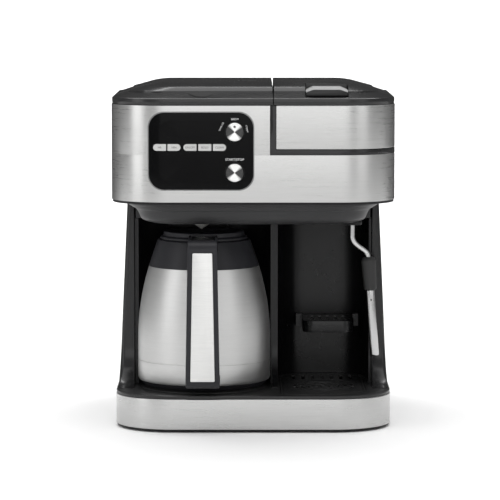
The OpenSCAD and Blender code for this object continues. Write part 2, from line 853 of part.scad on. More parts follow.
module tank_lid() {
  color([0.1, 0.1, 0.105]) difference() {
    union() {
      slab(tank_z1 + 0.3, 371) outline(-tank_half, tank_half, tank_y0, 161.5, [14, 14, 3, 3]);
      slab(371, 374) outline(-tank_half + 4, tank_half - 4, tank_y0 + 4, 158, [10, 10, 3, 3]);
      for (s = [-1, 1]) {
        block(s * 86 - 3.6, s * 86 + 3.6, 160, 165.5, 367, 371);
        rod_x(s * 86 - 3.6, s * 86 + 3.6, 165.5, 369, 3);
      }
      rod_x(-93.5, -86, 165.5, 369, 1.5);
      rod_x(86, 93.5, 165.5, 369, 1.5);
    }
    slab(tank_z1, 368.5) outline(-tank_half + 3, tank_half - 3, tank_y0 + 3, 158.5, [11, 11, 2, 2]);
  }
}

// ---------- controls ----------

module key_shape(i, grow) {
  x0 = key_x[i] - key_w / 2 - grow;
  x1 = key_x[i] + key_w / 2 + grow;
  r = key_h / 2 + grow;
  left = key_ends[i][0] == 1 ? r - 0.02 : 0.6;
  right = key_ends[i][1] == 1 ? r - 0.02 : 0.6;
  outline(x0, x1, key_z - r, key_z + r, [left, right, right, left]);
}

module key(i) {
  color([0.82, 0.82, 0.81]) intersection() {
    head_skin(1.9, 2.4, key_z - 10, key_z + 10);
    front_prism(front - 5, front + 8) key_shape(i, 0);
  }
}
module hour_key() { key(0); }
module minute_key() { key(1); }
module power_key() { key(2); }
module bold_key() { key(3); }
module clean_key() { key(4); }

module control_panel() {
  color([0.02, 0.02, 0.022]) difference() {
    intersection() {
      head_skin(1, 3.2, panel_z0 - 5, panel_z1 + 5);
      front_prism(front - 5, front + 12) panel_shape(0);
    }
    for (i = [0 : 4]) front_prism(front - 6, front + 13) key_shape(i, 0.35);
    rod_y(dial_x, front - 6, front + 13, dial_z, 3.4);
    rod_y(dial_x, front - 6, front + 13, start_z, 10.6);
  }
}

module control_board() {
  color([0.1, 0.32, 0.17]) difference() {
    union() {
      block(-108, -4, front + 12, front + 13.6, 276, 352);
      block(-96, -40, front + 5, front + 12.5, 328, 348);
      for (x = key_x) block(x - 3, x + 3, front + 5.5, front + 12.5, key_z - 3, key_z + 3);
      block(dial_x - 3, dial_x + 3, front + 5.5, front + 12.5, start_z - 3, start_z + 3);
      block(dial_x - 7, dial_x + 7, front + 5, front + 12.5, dial_z - 7, dial_z + 7);
    }
    rod_y(dial_x, front, front + 20, dial_z, 3.4);
  }
}

module mode_dial() {
  color([0.8, 0.8, 0.8]) union() {
    rod_y(dial_x, front - 8, front - 1.5, dial_z, dial_r);
    rod_y(dial_x, front - 2, front + 11, dial_z, 3);
  }
}

module start_button() {
  color([0.8, 0.8, 0.8]) rod_y(dial_x, front - 6, front + 3.4, start_z, dial_r - 0.1);
}

// ---------- cup shelf ----------

module cup_shelf() {
  color([0.06, 0.06, 0.065]) union() {
    difference() {
      slab(98.5, 111.5) outline(shelf_x0, shelf_x1, -28, 40, [14, 14, 1, 1]);
      slab(97, 109) outline(shelf_x0 + 2.4, shelf_x1 - 2.4, -25.6, 50, [11.6, 11.6, 1, 1]);
      for (i = [-2 : 2]) block(86.5 + i * 9 - 1.6, 86.5 + i * 9 + 1.6, -14, 28, 100, 115);
    }
    block(shelf_x0, shelf_x1, 36, 40, 105, 111.4);
    for (s = [0, 1]) {
      x = s ? shelf_x1 - 3 : shelf_x0;
      rod_x(x, x + 3, shelf_pin_y, shelf_pin_z, 4);
    }
    rod_x(shelf_x0 - 4.6, shelf_x0 + 1, shelf_pin_y, shelf_pin_z, pin_r);
    rod_x(shelf_x1 - 1, shelf_x1 + 4.6, shelf_pin_y, shelf_pin_z, pin_r);
  }
}

// ---------- carafe ----------

steel_z0 = 49.5;
steel_mid = 95;
arc_r = 274;   // radius of the steel body's shoulder

function body_r(z) = z < steel_mid ? carafe_r : carafe_r - pow(z - steel_mid, 2) / (2 * arc_r);
function shoulder(inset, z_end) = [
  for (i = [0 : 8]) let (z = steel_mid + (z_end - steel_mid) * i / 8) [body_r(z) - inset, z]
];
function shoulder_back(inset, z_end) = [for (i = [8 : -1 : 0]) shoulder(inset, z_end)[i]];

module at_carafe() {
  translate([carafe_x, carafe_y, 0]) children();
}

module carafe_shell() {
  color([0.8, 0.8, 0.8]) at_carafe() rotate_extrude() polygon(concat(
    [[carafe_r - 3.5, steel_z0], [carafe_r - 1, steel_z0], [carafe_r, steel_z0 + 4]],
    shoulder(0, collar_z - 0.2),
    shoulder_back(1.2, collar_z - 0.2),
    [[carafe_r - 1.2, steel_z0 + 4], [carafe_r - 2.2, steel_z0 + 1.2], [carafe_r - 3.5, steel_z0 + 1.2]]
  ));
}

module carafe_base() {
  color([0.08, 0.08, 0.085]) at_carafe() rotate_extrude() polygon([
    [0, 45], [60, 45], [61, 42.5], [67.5, 42.5], [73.6, steel_z0 - 0.3], [70, steel_z0 - 0.3],
    [70, steel_z0 + 3], [68, steel_z0 + 3], [66, 47], [0, 47]
  ]);
}

module carafe_liner() {
  color([0.75, 0.75, 0.76]) at_carafe() rotate_extrude() polygon(concat(
    [[0, 52], [62, 52], [carafe_r - 5, 60]],
    shoulder(5, 170), [[48.4, 184], [48.4, 190], [47.2, 190], [47.2, 184]],
    shoulder_back(6.2, 170), [[carafe_r - 6.2, 60.6], [61.4, 53.2], [0, 53.2]]
  ));
}

module carafe_collar() {
  color([0.2, 0.2, 0.21]) at_carafe() difference() {
    union() {
      rotate_extrude() polygon([
        [48.6, 186], [48.6, 191], [46.5, 193], [46.5, collar_top], [52.3, collar_top],
        [body_r(collar_z) + 0.4, collar_z], [body_r(collar_z) - 2, collar_z], [52, 188]
      ]);
      hull() {
        translate([0, 50, 205]) cylinder(r = 11, h = 4, $fn = 32);
        translate([0, 44, 192]) cylinder(r = 9, h = 2, $fn = 32);
      }
    }
    translate([0, 0, 191]) cylinder(r = 46.5, h = 30);
    hull() {
      translate([0, 50, 206]) cylinder(r = 8, h = 4, $fn = 32);
      translate([0, 40, 198]) cylinder(r = 7, h = 2, $fn = 32);
    }
  }
}

// Outside of the carafe, a little full, for cutting what bolts on to it.
module carafe_space() {
  at_carafe() rotate_extrude() polygon(concat(
    [[0, 40], [74.4, 40], [74.4, steel_z0], [carafe_r + 0.2, steel_z0 + 4]],
    [for (p = shoulder(0, collar_z - 0.2)) p + [0.2, 0]],
    [[52.5, collar_top], [52.5, 230], [0, 230]]
  ));
}

module handle_side(skin, y_in) {
  outline(handle_y + skin, y_in, handle_z0 + skin, handle_z1 - skin,
    [14 - skin * 0.5, 1, 1, 14 - skin * 0.5]);
}

// Carafe handle: a strap seen from the side, with a width that grows downwards.
module carafe_handle() {
  color([0.16, 0.16, 0.17]) difference() {
    intersection() {
      translate([carafe_x - 30, 0, 0]) rotate([90, 0, 90]) linear_extrude(60) difference() {
        handle_side(0, -96);
        outline(handle_y + 9, -90, handle_z0 + 10.5, handle_z1 - 19, [8, 1, 1, 8]);
      }
      front_prism(-180, -80) polygon([
        [carafe_x - 19, handle_z0], [carafe_x + 19, handle_z0],
        [carafe_x + 16.2, handle_z1], [carafe_x - 16.2, handle_z1]
      ]);
    }
    carafe_space();
    front_prism(-180, handle_y + 1.3) insert_shape(0.2);
    block(carafe_x - 13.4, carafe_x + 13.4, -160, -90, 205, 230);
    rod_x(carafe_x - 15.2, carafe_x + 15.2, -118, 212, pin_r + run);
  }
}

module insert_shape(grow) {
  polygon([
    [carafe_x - 13.6 - grow, 61 - grow], [carafe_x + 13.6 + grow, 61 - grow],
    [carafe_x + 11 + grow, 203.5 + grow], [carafe_x - 11 - grow, 203.5 + grow]
  ]);
}

module handle_insert() {
  color([0.85, 0.85, 0.85]) front_prism(handle_y - 0.8, handle_y + 1.2) insert_shape(0);
}

module carafe_lid() {
  color([0.17, 0.17, 0.18]) at_carafe() rotate_extrude() polygon([
    [5, 196], [46.2, 196], [46.2, collar_top + 0.2], [49.5, collar_top + 0.2], [49.5, 212], [46, 213.4],
    [46, 217.6], [45, 218.4], [41, 218.4], [34, 211], [8, 205], [5, 205]
  ]);
}

module lid_lever() {
  color([0.14, 0.14, 0.145]) union() {
    block(carafe_x - 12.9, carafe_x + 12.9, -157, -103.5, 212.4, 216.4);
    rod_x(carafe_x - 12.9, carafe_x + 12.9, -118, 212, 3.4);
    rod_x(carafe_x - 14.9, carafe_x + 14.9, -118, 212, pin_r);
  }
}

// ---------- the pieces ----------

base_pan();
base_band();
base_deck();
feet();
screws();
rest_plate();
drip_tray();
drip_grid();
left_cheek();
right_cheek();
bay_liner();
rear_frame();
rear_cover();
cord_gland();
water_pump();
brew_heater();
steam_boiler();
power_board();
hoses();
head_chassis();
head_band();
pod_deck();
brew_floor();
top_deck();
control_panel();
control_board();
filter_basket();
drip_valve();
pod_holder();
pod_nozzle();
pod_cap();
pod_panel();
pod_press();
pod_latch();
hinge_pins();
brew_lid();
spray_head();
wand_tube();
wand_grip();
wand_socket();
frother_sleeve();
tank();
tank_valve();
tank_lid();
mode_dial();
start_button();
hour_key();
minute_key();
power_key();
bold_key();
clean_key();
cup_shelf();
carafe_shell();
carafe_base();
carafe_liner();
carafe_collar();
carafe_handle();
handle_insert();
carafe_lid();
lid_lever();
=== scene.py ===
import math

import bmesh
import bpy
import numpy as np
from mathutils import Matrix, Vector


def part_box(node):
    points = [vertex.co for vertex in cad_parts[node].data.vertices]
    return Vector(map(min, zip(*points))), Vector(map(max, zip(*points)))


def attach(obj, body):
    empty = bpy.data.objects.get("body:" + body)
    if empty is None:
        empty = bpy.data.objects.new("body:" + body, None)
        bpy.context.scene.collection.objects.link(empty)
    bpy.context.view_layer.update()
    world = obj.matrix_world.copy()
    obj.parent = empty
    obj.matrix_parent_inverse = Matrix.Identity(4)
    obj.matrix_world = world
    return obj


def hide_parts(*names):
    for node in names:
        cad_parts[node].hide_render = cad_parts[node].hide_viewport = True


# A countertop coffee maker: a thermal carafe under the left half of the head, a single-cup side with a
# lifting pod head on the right, a steam wand, a drip tray, and a water tank behind.
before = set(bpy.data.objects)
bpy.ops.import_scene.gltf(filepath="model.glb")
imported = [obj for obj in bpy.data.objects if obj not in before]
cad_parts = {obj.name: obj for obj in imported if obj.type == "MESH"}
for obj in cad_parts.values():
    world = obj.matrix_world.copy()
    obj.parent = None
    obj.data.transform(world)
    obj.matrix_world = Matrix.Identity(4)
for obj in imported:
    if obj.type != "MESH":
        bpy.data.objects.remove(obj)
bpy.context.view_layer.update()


# ---------- floor, light and camera ----------
# A pale sweep of board under the machine, a big soft source over it, two upright soft boxes beside it and a
# dim room behind, which give the brushed steel its long bright and dark stretches.
def stage_material(name, colour, roughness):
    """Matt board with a faint mottle, so the floor isn't one flat colour."""
    mat = bpy.data.materials.new(name)
    mat.use_nodes = True
    nodes, links = mat.node_tree.nodes, mat.node_tree.links
    shader = nodes["Principled BSDF"]
    shader.inputs["Roughness"].default_value = roughness
    place = nodes.new("ShaderNodeTexCoord")
    mottle = nodes.new("ShaderNodeTexNoise")
    mottle.inputs["Scale"].default_value = 3
    ramp = nodes.new("ShaderNodeValToRGB")
    ramp.color_ramp.elements[0].color = (*[c * 0.985 for c in colour], 1)
    ramp.color_ramp.elements[1].color = (*colour, 1)
    links.new(place.outputs["Object"], mottle.inputs["Vector"])
    links.new(mottle.outputs["Fac"], ramp.inputs["Fac"])
    links.new(ramp.outputs["Color"], shader.inputs["Base Color"])
    return mat


def stage_sheet(name, points, mat):
    """A stage surface from a grid of points in metres."""
    rows, columns = points.shape[:2]
    a, b = np.meshgrid(np.arange(rows - 1), np.arange(columns - 1), indexing="ij")
    first = a * columns + b
    faces = np.stack([first, first + columns, first + columns + 1, first + 1], -1).reshape(-1, 4)
    mesh = bpy.data.meshes.new(name)
    mesh.from_pydata(points.reshape(-1, 3).tolist(), [], faces.tolist())
    mesh.shade_smooth()
    mesh.materials.append(mat)
    sheet = bpy.data.objects.new(name, mesh)
    bpy.context.scene.collection.objects.link(sheet)
    return sheet


board = stage_material("floor_board", (0.97, 0.97, 0.97), 0.8)
across = np.linspace(-9, 9, 3)


def strip_points(profile):
    """Grid of stage points: a profile of (y, z) carried across the width."""
    profile = np.array(profile)
    return np.stack([np.stack([across, np.full(3, y), np.full(3, z)], -1) for y, z in profile])


stage_sheet("floor", strip_points([(-6, 0), (-2, 0), (0.8, 0)]), board)
bend = np.linspace(0, math.pi / 2, 25)
rise = [(0.8, 0.0)] + [(2.5 + 2.5 * math.sin(t), 2.5 - 2.5 * math.cos(t)) for t in bend] + [(5.0, 7.0)]
backdrop = stage_sheet("backdrop", strip_points(rise), board)
backdrop.visible_glossy = False


def soft_box(name, place, aim, size, power, spread=180):
    """Area light of the given width and height at place, facing aim."""
    light = bpy.data.lights.new(name, "AREA")
    light.shape = "RECTANGLE"
    light.size, light.size_y = size
    light.energy = power
    light.spread = math.radians(spread)
    lamp = bpy.data.objects.new(name, light)
    lamp.location = place
    lamp.rotation_euler = (Vector(aim) - Vector(place)).to_track_quat("-Z", "Y").to_euler()
    bpy.context.scene.collection.objects.link(lamp)
    return lamp


soft_box("key_left", (-1.96, -1.0, 1.0), (0, 0, 0.22), (1.0, 2.0), 10)
soft_box("key_right", (1.8, -1.6, 1.0), (0, 0, 0.22), (1.0, 1.8), 5)
soft_box("front_fill", (0.1, -3.1, 0.95), (0, 0, 0.25), (2.6, 1.7), 15)
soft_box("overhead", (0, 0.0, 2.6), (0, 0, 0.2), (3.0, 2.6), 46)
soft_box("backdrop_wash", (0, 2.2, 3.6), (0, 4.5, 0.4), (5, 1.5), 150)

# The room beyond the lights is bright in front of the machine and dim behind it.
world = bpy.data.worlds.new("studio")
bpy.context.scene.world = world
world.use_nodes = True
room = world.node_tree
direction = room.nodes.new("ShaderNodeTexCoord")
split = room.nodes.new("ShaderNodeSeparateXYZ")
room.links.new(direction.outputs["Generated"], split.inputs["Vector"])
depth = room.nodes.new("ShaderNodeMapRange")
depth.inputs["From Min"].default_value = -1
room.links.new(split.outputs["Y"], depth.inputs["Value"])
fade = room.nodes.new("ShaderNodeValToRGB")
fade.color_ramp.elements[0].color = (0.62, 0.62, 0.62, 1)
fade.color_ramp.elements[1].color = (0.05, 0.05, 0.05, 1)
side = fade.color_ramp.elements.new(0.5)
side.color = (0.36, 0.36, 0.36, 1)
rear = fade.color_ramp.elements.new(0.8)
rear.color = (0.24, 0.24, 0.24, 1)
room.links.new(depth.outputs["Result"], fade.inputs["Fac"])
room.links.new(fade.outputs["Color"], room.nodes["Background"].inputs["Color"])

# The camera stands a little over three metres away, above the machine and looking slightly down.
camera_data = bpy.data.cameras.new("camera")
camera_data.sensor_width = 36
camera_data.lens = 215
camera = bpy.data.objects.new("camera", camera_data)
camera.location = (-0.0036, -0.145 - 3.29, 0.513)
camera.rotation_euler = (math.radians(90 - 5.354), 0, 0)
bpy.context.scene.collection.objects.link(camera)
bpy.context.scene.camera = camera
bpy.context.scene.view_settings.view_transform = "Standard"


# ---------- finishes ----------
# Brushed stainless steel, black and dark grey moulded plastic, painted keys, soft rubber and smoked tank
# plastic. Each keeps its own scale of grain, its own gloss and its own handling marks.
def new_group(name, inputs, outputs):
    """Shader node group with float or vector inputs [(name, kind, value)] and outputs [(name, kind)]."""
    group = bpy.data.node_groups.new(name, "ShaderNodeTree")
    for label, kind, value in inputs:
        socket = group.interface.new_socket(label, in_out="INPUT", socket_type="NodeSocket" + kind)
        if value is not None:
            socket.default_value = value
    for label, kind in outputs:
        group.interface.new_socket(label, in_out="OUTPUT", socket_type="NodeSocket" + kind)
    return group, group.nodes.new("NodeGroupInput"), group.nodes.new("NodeGroupOutput")


def math_node(tree, operation, first, second):
    """Math node whose two inputs are sockets or numbers; gives its output."""
    node = tree.nodes.new("ShaderNodeMath")
    node.operation = operation
    for socket, value in zip(node.inputs, (first, second)):
        if isinstance(value, (int, float)):
            socket.default_value = value
        else:
            tree.links.new(value, socket)
    return node.outputs[0]


def noise_node(tree, vector, scale, detail, roughness=0.5):
    """Noise on a vector, from 0 to 1."""
    node = tree.nodes.new("ShaderNodeTexNoise")
    node.inputs["Detail"].default_value = detail
    node.inputs["Roughness"].default_value = roughness
    if isinstance(scale, (int, float)):
        node.inputs["Scale"].default_value = scale
    else:
        tree.links.new(scale, node.inputs["Scale"])
    tree.links.new(vector, node.inputs["Vector"])
    return node.outputs["Fac"]


def brushed_group():
    """Long scratches: noise on a vector squeezed across the grain, fine and coarse added, plus soft
    smudges."""
    group, enter, leave = new_group(
        "brushed_grain",
        [("Vector", "Vector", None), ("Scale", "Float", 1.0)],
        [("Grain", "Float"), ("Smudge", "Float")],
    )
    fine = noise_node(group, enter.outputs["Vector"], enter.outputs["Scale"], 3, 0.6)
    wide = math_node(group, "MULTIPLY", enter.outputs["Scale"], 0.23)
    coarse = noise_node(group, enter.outputs["Vector"], wide, 2)
    both = math_node(group, "ADD", math_node(group, "MULTIPLY", fine, 0.65),
                     math_node(group, "MULTIPLY", coarse, 0.35))
    place = group.nodes.new("ShaderNodeTexCoord")
    smudge = noise_node(group, place.outputs["Object"], 16, 3)
    group.links.new(both, leave.inputs["Grain"])
    group.links.new(smudge, leave.inputs["Smudge"])
    return group


def moulded_group():
    """Moulded plastic: a fine pebble height, and a slow cloud that stands for handling marks and dust."""
    group, enter, leave = new_group(
        "moulded_skin",
        [("Vector", "Vector", None), ("Pebble", "Float", 2600.0), ("Cloud", "Float", 14.0)],
        [("Height", "Float"), ("Marks", "Float")],
    )
    pebble = noise_node(group, enter.outputs["Vector"], enter.outputs["Pebble"], 2)
    cloud = noise_node(group, enter.outputs["Vector"], enter.outputs["Cloud"], 4, 0.6)
    group.links.new(pebble, leave.inputs["Height"])
    group.links.new(cloud, leave.inputs["Marks"])
    return group


BRUSHED = brushed_group()
MOULDED = moulded_group()


def start_material(name):
    """Fresh node material: the material, its tree, its shader and its object coordinates."""
    mat = bpy.data.materials.new(name)
    mat.use_nodes = True
    tree = mat.node_tree
    place = tree.nodes.new("ShaderNodeTexCoord")
    return mat, tree, tree.nodes["Principled BSDF"], place.outputs["Object"]


def spread_value(tree, mask, low, high):
    """A 0-to-1 mask stretched around its middle to run from low to high."""
    node = tree.nodes.new("ShaderNodeMapRange")
    node.inputs["From Min"].default_value = 0.3
    node.inputs["From Max"].default_value = 0.7
    node.inputs["To Min"].default_value = low
    node.inputs["To Max"].default_value = high
    tree.links.new(mask, node.inputs["Value"])
    return node.outputs["Result"]


def spread_colour(tree, mask, low, high):
    """A 0-to-1 mask turned into a colour between low and high."""
    node = tree.nodes.new("ShaderNodeValToRGB")
    node.color_ramp.elements[0].position = 0.3
    node.color_ramp.elements[1].position = 0.7
    node.color_ramp.elements[0].color = (*low, 1)
    node.color_ramp.elements[1].color = (*high, 1)
    tree.links.new(mask, node.inputs["Fac"])
    return node.outputs["Color"]


def add_bump(tree, shader, height, distance, strength):
    """Height in metres of relief onto the shader's normal."""
    bump = tree.nodes.new("ShaderNodeBump")
    bump.inputs["Distance"].default_value = distance
    bump.inputs["Strength"].default_value = strength
    tree.links.new(height, bump.inputs["Height"])
    tree.links.new(bump.outputs["Normal"], shader.inputs["Normal"])


def brushed_steel(name, colour, roughness, along=(5, 5, 1), scale=900.0, contrast=0.1, bump=0.25):
    """Stainless steel brushed along the axes with small factors in along, under a satin gloss."""
    mat, tree, shader, place = start_material(name)
    squeeze = tree.nodes.new("ShaderNodeMapping")
    squeeze.inputs["Scale"].default_value = [1 / a for a in along]
    tree.links.new(place, squeeze.inputs["Vector"])
    grain = tree.nodes.new("ShaderNodeGroup")
    grain.node_tree = BRUSHED
    grain.inputs["Scale"].default_value = scale
    tree.links.new(squeeze.outputs["Vector"], grain.inputs["Vector"])
    dark = [c * (1 - contrast) for c in colour]
    light = [min(1, c * (1 + contrast)) for c in colour]
    tree.links.new(spread_colour(tree, grain.outputs["Grain"], dark, light), shader.inputs["Base Color"])
    rough = math_node(
        tree, "ADD",
        spread_value(tree, grain.outputs["Grain"], roughness - 0.05, roughness + 0.05),
        spread_value(tree, grain.outputs["Smudge"], -0.015, 0.02),
    )
    tree.links.new(rough, shader.inputs["Roughness"])
    shader.inputs["Metallic"].default_value = 1
    add_bump(tree, shader, grain.outputs["Grain"], 0.00004, bump)
    return mat


def moulded(name, colour, roughness, marks=0.05, pebble=2600.0, relief=0.1, coat=0.0, alpha=1.0,
             shine=0.5):
    """Moulded plastic of one colour with a faint cloud of marks, a pebbled skin and a given gloss."""
    mat, tree, shader, place = start_material(name)
    skin = tree.nodes.new("ShaderNodeGroup")
    skin.node_tree = MOULDED
    skin.inputs["Pebble"].default_value = pebble
    tree.links.new(place, skin.inputs["Vector"])
    shade = spread_colour(tree, skin.outputs["Marks"], [c * 0.88 for c in colour],
                          [min(1, c * 1.12) for c in colour])
    tree.links.new(shade, shader.inputs["Base Color"])
    tree.links.new(spread_value(tree, skin.outputs["Marks"], roughness - marks, roughness + marks),
                   shader.inputs["Roughness"])
    shader.inputs["Specular IOR Level"].default_value = shine
    shader.inputs["Coat Weight"].default_value = coat
    shader.inputs["Coat Roughness"].default_value = 0.06
    shader.inputs["Alpha"].default_value = alpha
    add_bump(tree, shader, skin.outputs["Height"], 0.00005, relief)
    return mat


band_steel = brushed_steel("band_steel", (0.51, 0.51, 0.505), 0.3, along=(12, 12, 0.3), scale=620,
                           contrast=0.045, bump=0.06)
carafe_steel = brushed_steel("carafe_steel", (0.56, 0.56, 0.555), 0.42, along=(7, 7, 0.3), scale=420,
                             contrast=0.05,
                             bump=0.12)
insert_steel = brushed_steel("insert_steel", (0.7, 0.7, 0.69), 0.42, along=(7, 7, 0.3), scale=500,
                             contrast=0.06)
polished_steel = brushed_steel("polished_steel", (0.5, 0.5, 0.5), 0.13, along=(2, 2, 1), scale=500,
                               contrast=0.04, bump=0.08)
shell_black = moulded("shell_black", (0.014, 0.014, 0.0145), 0.2, relief=0.05, shine=0.32)
# Painted shade: a darker copy of the black plastic, used for the bay's liner and for the gaps, sockets, air
# hole and cup shelf that lie in shade.
bay_black = moulded("bay_black", (0.005, 0.005, 0.0055), 0.3, relief=0.06, shine=0.3)
deck_black = moulded("deck_black", (0.009, 0.009, 0.0095), 0.24, relief=0.05, shine=0.5)
worktop_black = moulded("worktop_black", (0.022, 0.022, 0.0225), 0.34, relief=0.08, shine=0.3)
skirt_grey = moulded("skirt_grey", (0.03, 0.03, 0.031), 0.4, relief=0.1, shine=0.25)
collar_grey = moulded("collar_grey", (0.02, 0.02, 0.023), 0.38, relief=0.08, shine=0.2)
inner_plastic = moulded("inner_plastic", (0.012, 0.012, 0.013), 0.55, relief=0.25, pebble=1500, shine=0.2)
panel_black = moulded("panel_black", (0.0015, 0.0015, 0.0018), 0.14, marks=0.02, relief=0.0, shine=0.09)
key_silver = moulded("key_silver", (0.52, 0.52, 0.51), 0.38, relief=0.08)
latch_silver = moulded("latch_silver", (0.42, 0.42, 0.42), 0.3, relief=0.05, coat=0.3)
soft_rubber = moulded("soft_rubber", (0.012, 0.012, 0.012), 0.6, relief=0.35, pebble=1800)
tank_smoke = moulded("tank_smoke", (0.03, 0.03, 0.032), 0.12, relief=0.02, alpha=0.62)
valve_white = moulded("valve_white", (0.55, 0.55, 0.53), 0.45)
cast_alloy = brushed_steel("cast_alloy", (0.5, 0.5, 0.51), 0.5, along=(1, 1, 1), scale=700, bump=0.5)
board_green = moulded("board_green", (0.02, 0.11, 0.05), 0.35, coat=0.3)
hose_milky = moulded("hose_milky", (0.5, 0.52, 0.5), 0.35, alpha=0.8)
caption_white = moulded("caption_white", (0.75, 0.75, 0.75), 0.5, relief=0.0)


# ---------- base ----------
# A moulded pan stands on four rubber feet and is closed by a deck, with screws from below. A brushed steel
# band, rolled in at both edges, wraps its front and sides.
def millimetres(node):
    """Lowest and highest corner of a CAD node, in millimetres."""
    return [np.array(corner) * 1000 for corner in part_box(node)]


def eased(points, radius, steps=5, closed=False):
    """Polyline whose corners are each replaced by a quadratic curve that starts radius before the corner
    and ends radius after it, or less where the neighbouring corner is near."""
    points = np.array(points, float)
    radius = np.broadcast_to(radius, (len(points),))
    out = []
    for i, corner in enumerate(points):
        if not closed and i in (0, len(points) - 1):
            out.append(corner[None])
            continue
        before = points[i - 1] - corner
        after = points[(i + 1) % len(points)] - corner
        reach = [min(radius[i], np.linalg.norm(v) * 0.49) for v in (before, after)]
        start = corner + before / max(np.linalg.norm(before), 1e-9) * reach[0]
        end = corner + after / max(np.linalg.norm(after), 1e-9) * reach[1]
        t = np.linspace(0, 1, steps)[:, None]
        out.append((1 - t) ** 2 * start + 2 * t * (1 - t) * corner + t ** 2 * end)
    return np.concatenate(out)


def loop(x0, x1, y0, y1, radii, steps=20):
    """Closed rounded rectangle, anticlockwise from the front left; radii run front left, front right,
    rear right, rear left, and each corner is a quarter circle of that radius."""
    centres = [(x0 + radii[0], y0 + radii[0], 180), (x1 - radii[1], y0 + radii[1], 270),
               (x1 - radii[2], y1 - radii[2], 0), (x0 + radii[3], y1 - radii[3], 90)]
    turn = np.radians(np.linspace(0, 90, steps))
    arcs = []
    for (cx, cy, start), r in zip(centres, radii):
        a = math.radians(start) + turn
        arcs.append(np.stack([cx + r * np.cos(a), cy + r * np.sin(a)], -1))
    return np.concatenate(arcs)


def at_height(ring, z):
    """A flat ring of (x, y) points lifted to height z."""
    return np.column_stack([ring, np.full(len(ring), float(z))])


def surface(rings, closed=True, first_cap=False, last_cap=False):
    """Rings of equal length joined into quads; closed joins each ring's end to its start, and a cap fills
    the first or last ring with one face. Gives points in millimetres and faces."""
    points = np.array(rings, float)
    count, length = points.shape[:2]
    i, j = np.meshgrid(np.arange(count - 1), np.arange(length if closed else length - 1), indexing="ij")
    k = (j + 1) % length
    faces = np.stack([i * length + j, i * length + k, (i + 1) * length + k, (i + 1) * length + j], -1)
    faces = faces.reshape(-1, 4).tolist()
    if first_cap:
        faces.append(list(range(length))[::-1])
    if last_cap:
        faces.append([(count - 1) * length + n for n in range(length)])
    return points.reshape(-1, 3), faces


def piece(name, surfaces, body, mat, replaces=(), sharp=38):
    """Joins surfaces into one mesh in metres, welds it, turns its faces outwards, shades it smooth with
    edges sharper than the given angle kept crisp, and lets it ride on its body."""
    points, faces, start = [], [], 0
    for part_points, part_faces in surfaces:
        points.append(part_points)
        faces += [[n + start for n in face] for face in part_faces]
        start += len(part_points)
    mesh = bpy.data.meshes.new(name)
    mesh.from_pydata((np.concatenate(points) * 0.001).tolist(), [], faces)
    shape = bmesh.new()
    shape.from_mesh(mesh)
    bmesh.ops.remove_doubles(shape, verts=shape.verts, dist=2e-6)
    bmesh.ops.recalc_face_normals(shape, faces=shape.faces)
    shape.to_mesh(mesh)
    shape.free()
    mesh.shade_smooth()
    mesh.set_sharp_from_angle(angle=math.radians(sharp))
    mesh.materials.append(mat)
    made = bpy.data.objects.new(name, mesh)
    bpy.context.scene.collection.objects.link(made)
    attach(made, body)
    if replaces:
        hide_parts(*replaces)
    return made


def finish_node(node, mat, round_edges=0.0006):
    """Gives a CAD node its finish; a weld joins its loose triangles, a bevel takes the edge off, and a
    split keeps flat faces crisp."""
    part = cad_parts[node]
    part.data.materials.clear()
    part.data.materials.append(mat)
    part.data.shade_smooth()
    weld = part.modifiers.new("weld", "WELD")
    weld.merge_threshold = 2e-6
    if round_edges:
        bevel = part.modifiers.new("soft_edge", "BEVEL")
        bevel.width = round_edges
        bevel.segments = 2
        bevel.limit_method = "ANGLE"
        bevel.angle_limit = math.radians(40)
        bevel.use_clamp_overlap = True
    split = part.modifiers.new("crisp", "EDGE_SPLIT")
    split.split_angle = math.radians(35)
    return part


finish_node("base_pan", inner_plastic)
finish_node("feet", soft_rubber)
finish_node("screws", polished_steel, 0)

base_low, base_high = millimetres("base_band")
base_corner = 66
base_side = base_high[0]
base_front = base_low[1]


def wrap(inset, half, front, corner, left_end, right_end, steps=40):
    """Open path in plan round the front of the machine, from the left side's rear end, forward, round the
    left corner, across, round the right corner and back. An end is ("side", y) or ("front", x)."""
    path = []
    across = [-half + corner, half - corner]
    turn = np.radians(np.linspace(0, 90, steps))
    r = corner - inset
    if left_end[0] == "side":
        path.append(np.linspace([-half + inset, left_end[1]], [-half + inset, front + corner], 6)[:-1])
        angle = math.pi + turn
        path.append(np.stack([across[0] + r * np.cos(angle), front + corner + r * np.sin(angle)], -1))
    else:
        across[0] = left_end[1]
        path.append(np.array([[across[0], front + inset]]))
    if right_end[0] == "side":
        path.append(np.linspace([across[0], front + inset], [across[1], front + inset], 12)[1:-1])
        angle = 1.5 * math.pi + turn
        path.append(np.stack([across[1] + r * np.cos(angle), front + corner + r * np.sin(angle)], -1))
        path.append(np.linspace([half - inset, front + corner], [half - inset, right_end[1]], 6)[1:])
    else:
        path.append(np.linspace([across[0], front + inset], [right_end[1], front + inset], 12)[1:])
    return np.concatenate(path)


def wrapped_band(z0, z1, thick, roll, **path):
    """A sheet of the given thickness on a wrap path, from height z0 to z1: its section is a thin closed
    loop whose two long sides are joined by quarter rolls."""
    section = eased([[roll, z0], [0, z0 + roll], [0, z1 - roll], [roll, z1], [thick, z1 - 0.05],
                     [thick, z0 + 0.05]], roll * 0.6, closed=True)
    rings = [at_height(wrap(inset, **path), z) for inset, z in section]
    return surface(np.swapaxes(rings, 0, 1), first_cap=True, last_cap=True)


base_path = dict(half=base_side, front=base_front, corner=base_corner,
                 left_end=("side", base_high[1]), right_end=("side", base_high[1]))
piece("base_band_skin", [wrapped_band(base_low[2], base_high[2], 0.8, 0.5, **base_path)],
      "housing", band_steel, ["base_band"])

# The deck's edge shows as a thin black lip over the band, with a shadow gap between them.
finish_node("base_deck", worktop_black, 0.0009)


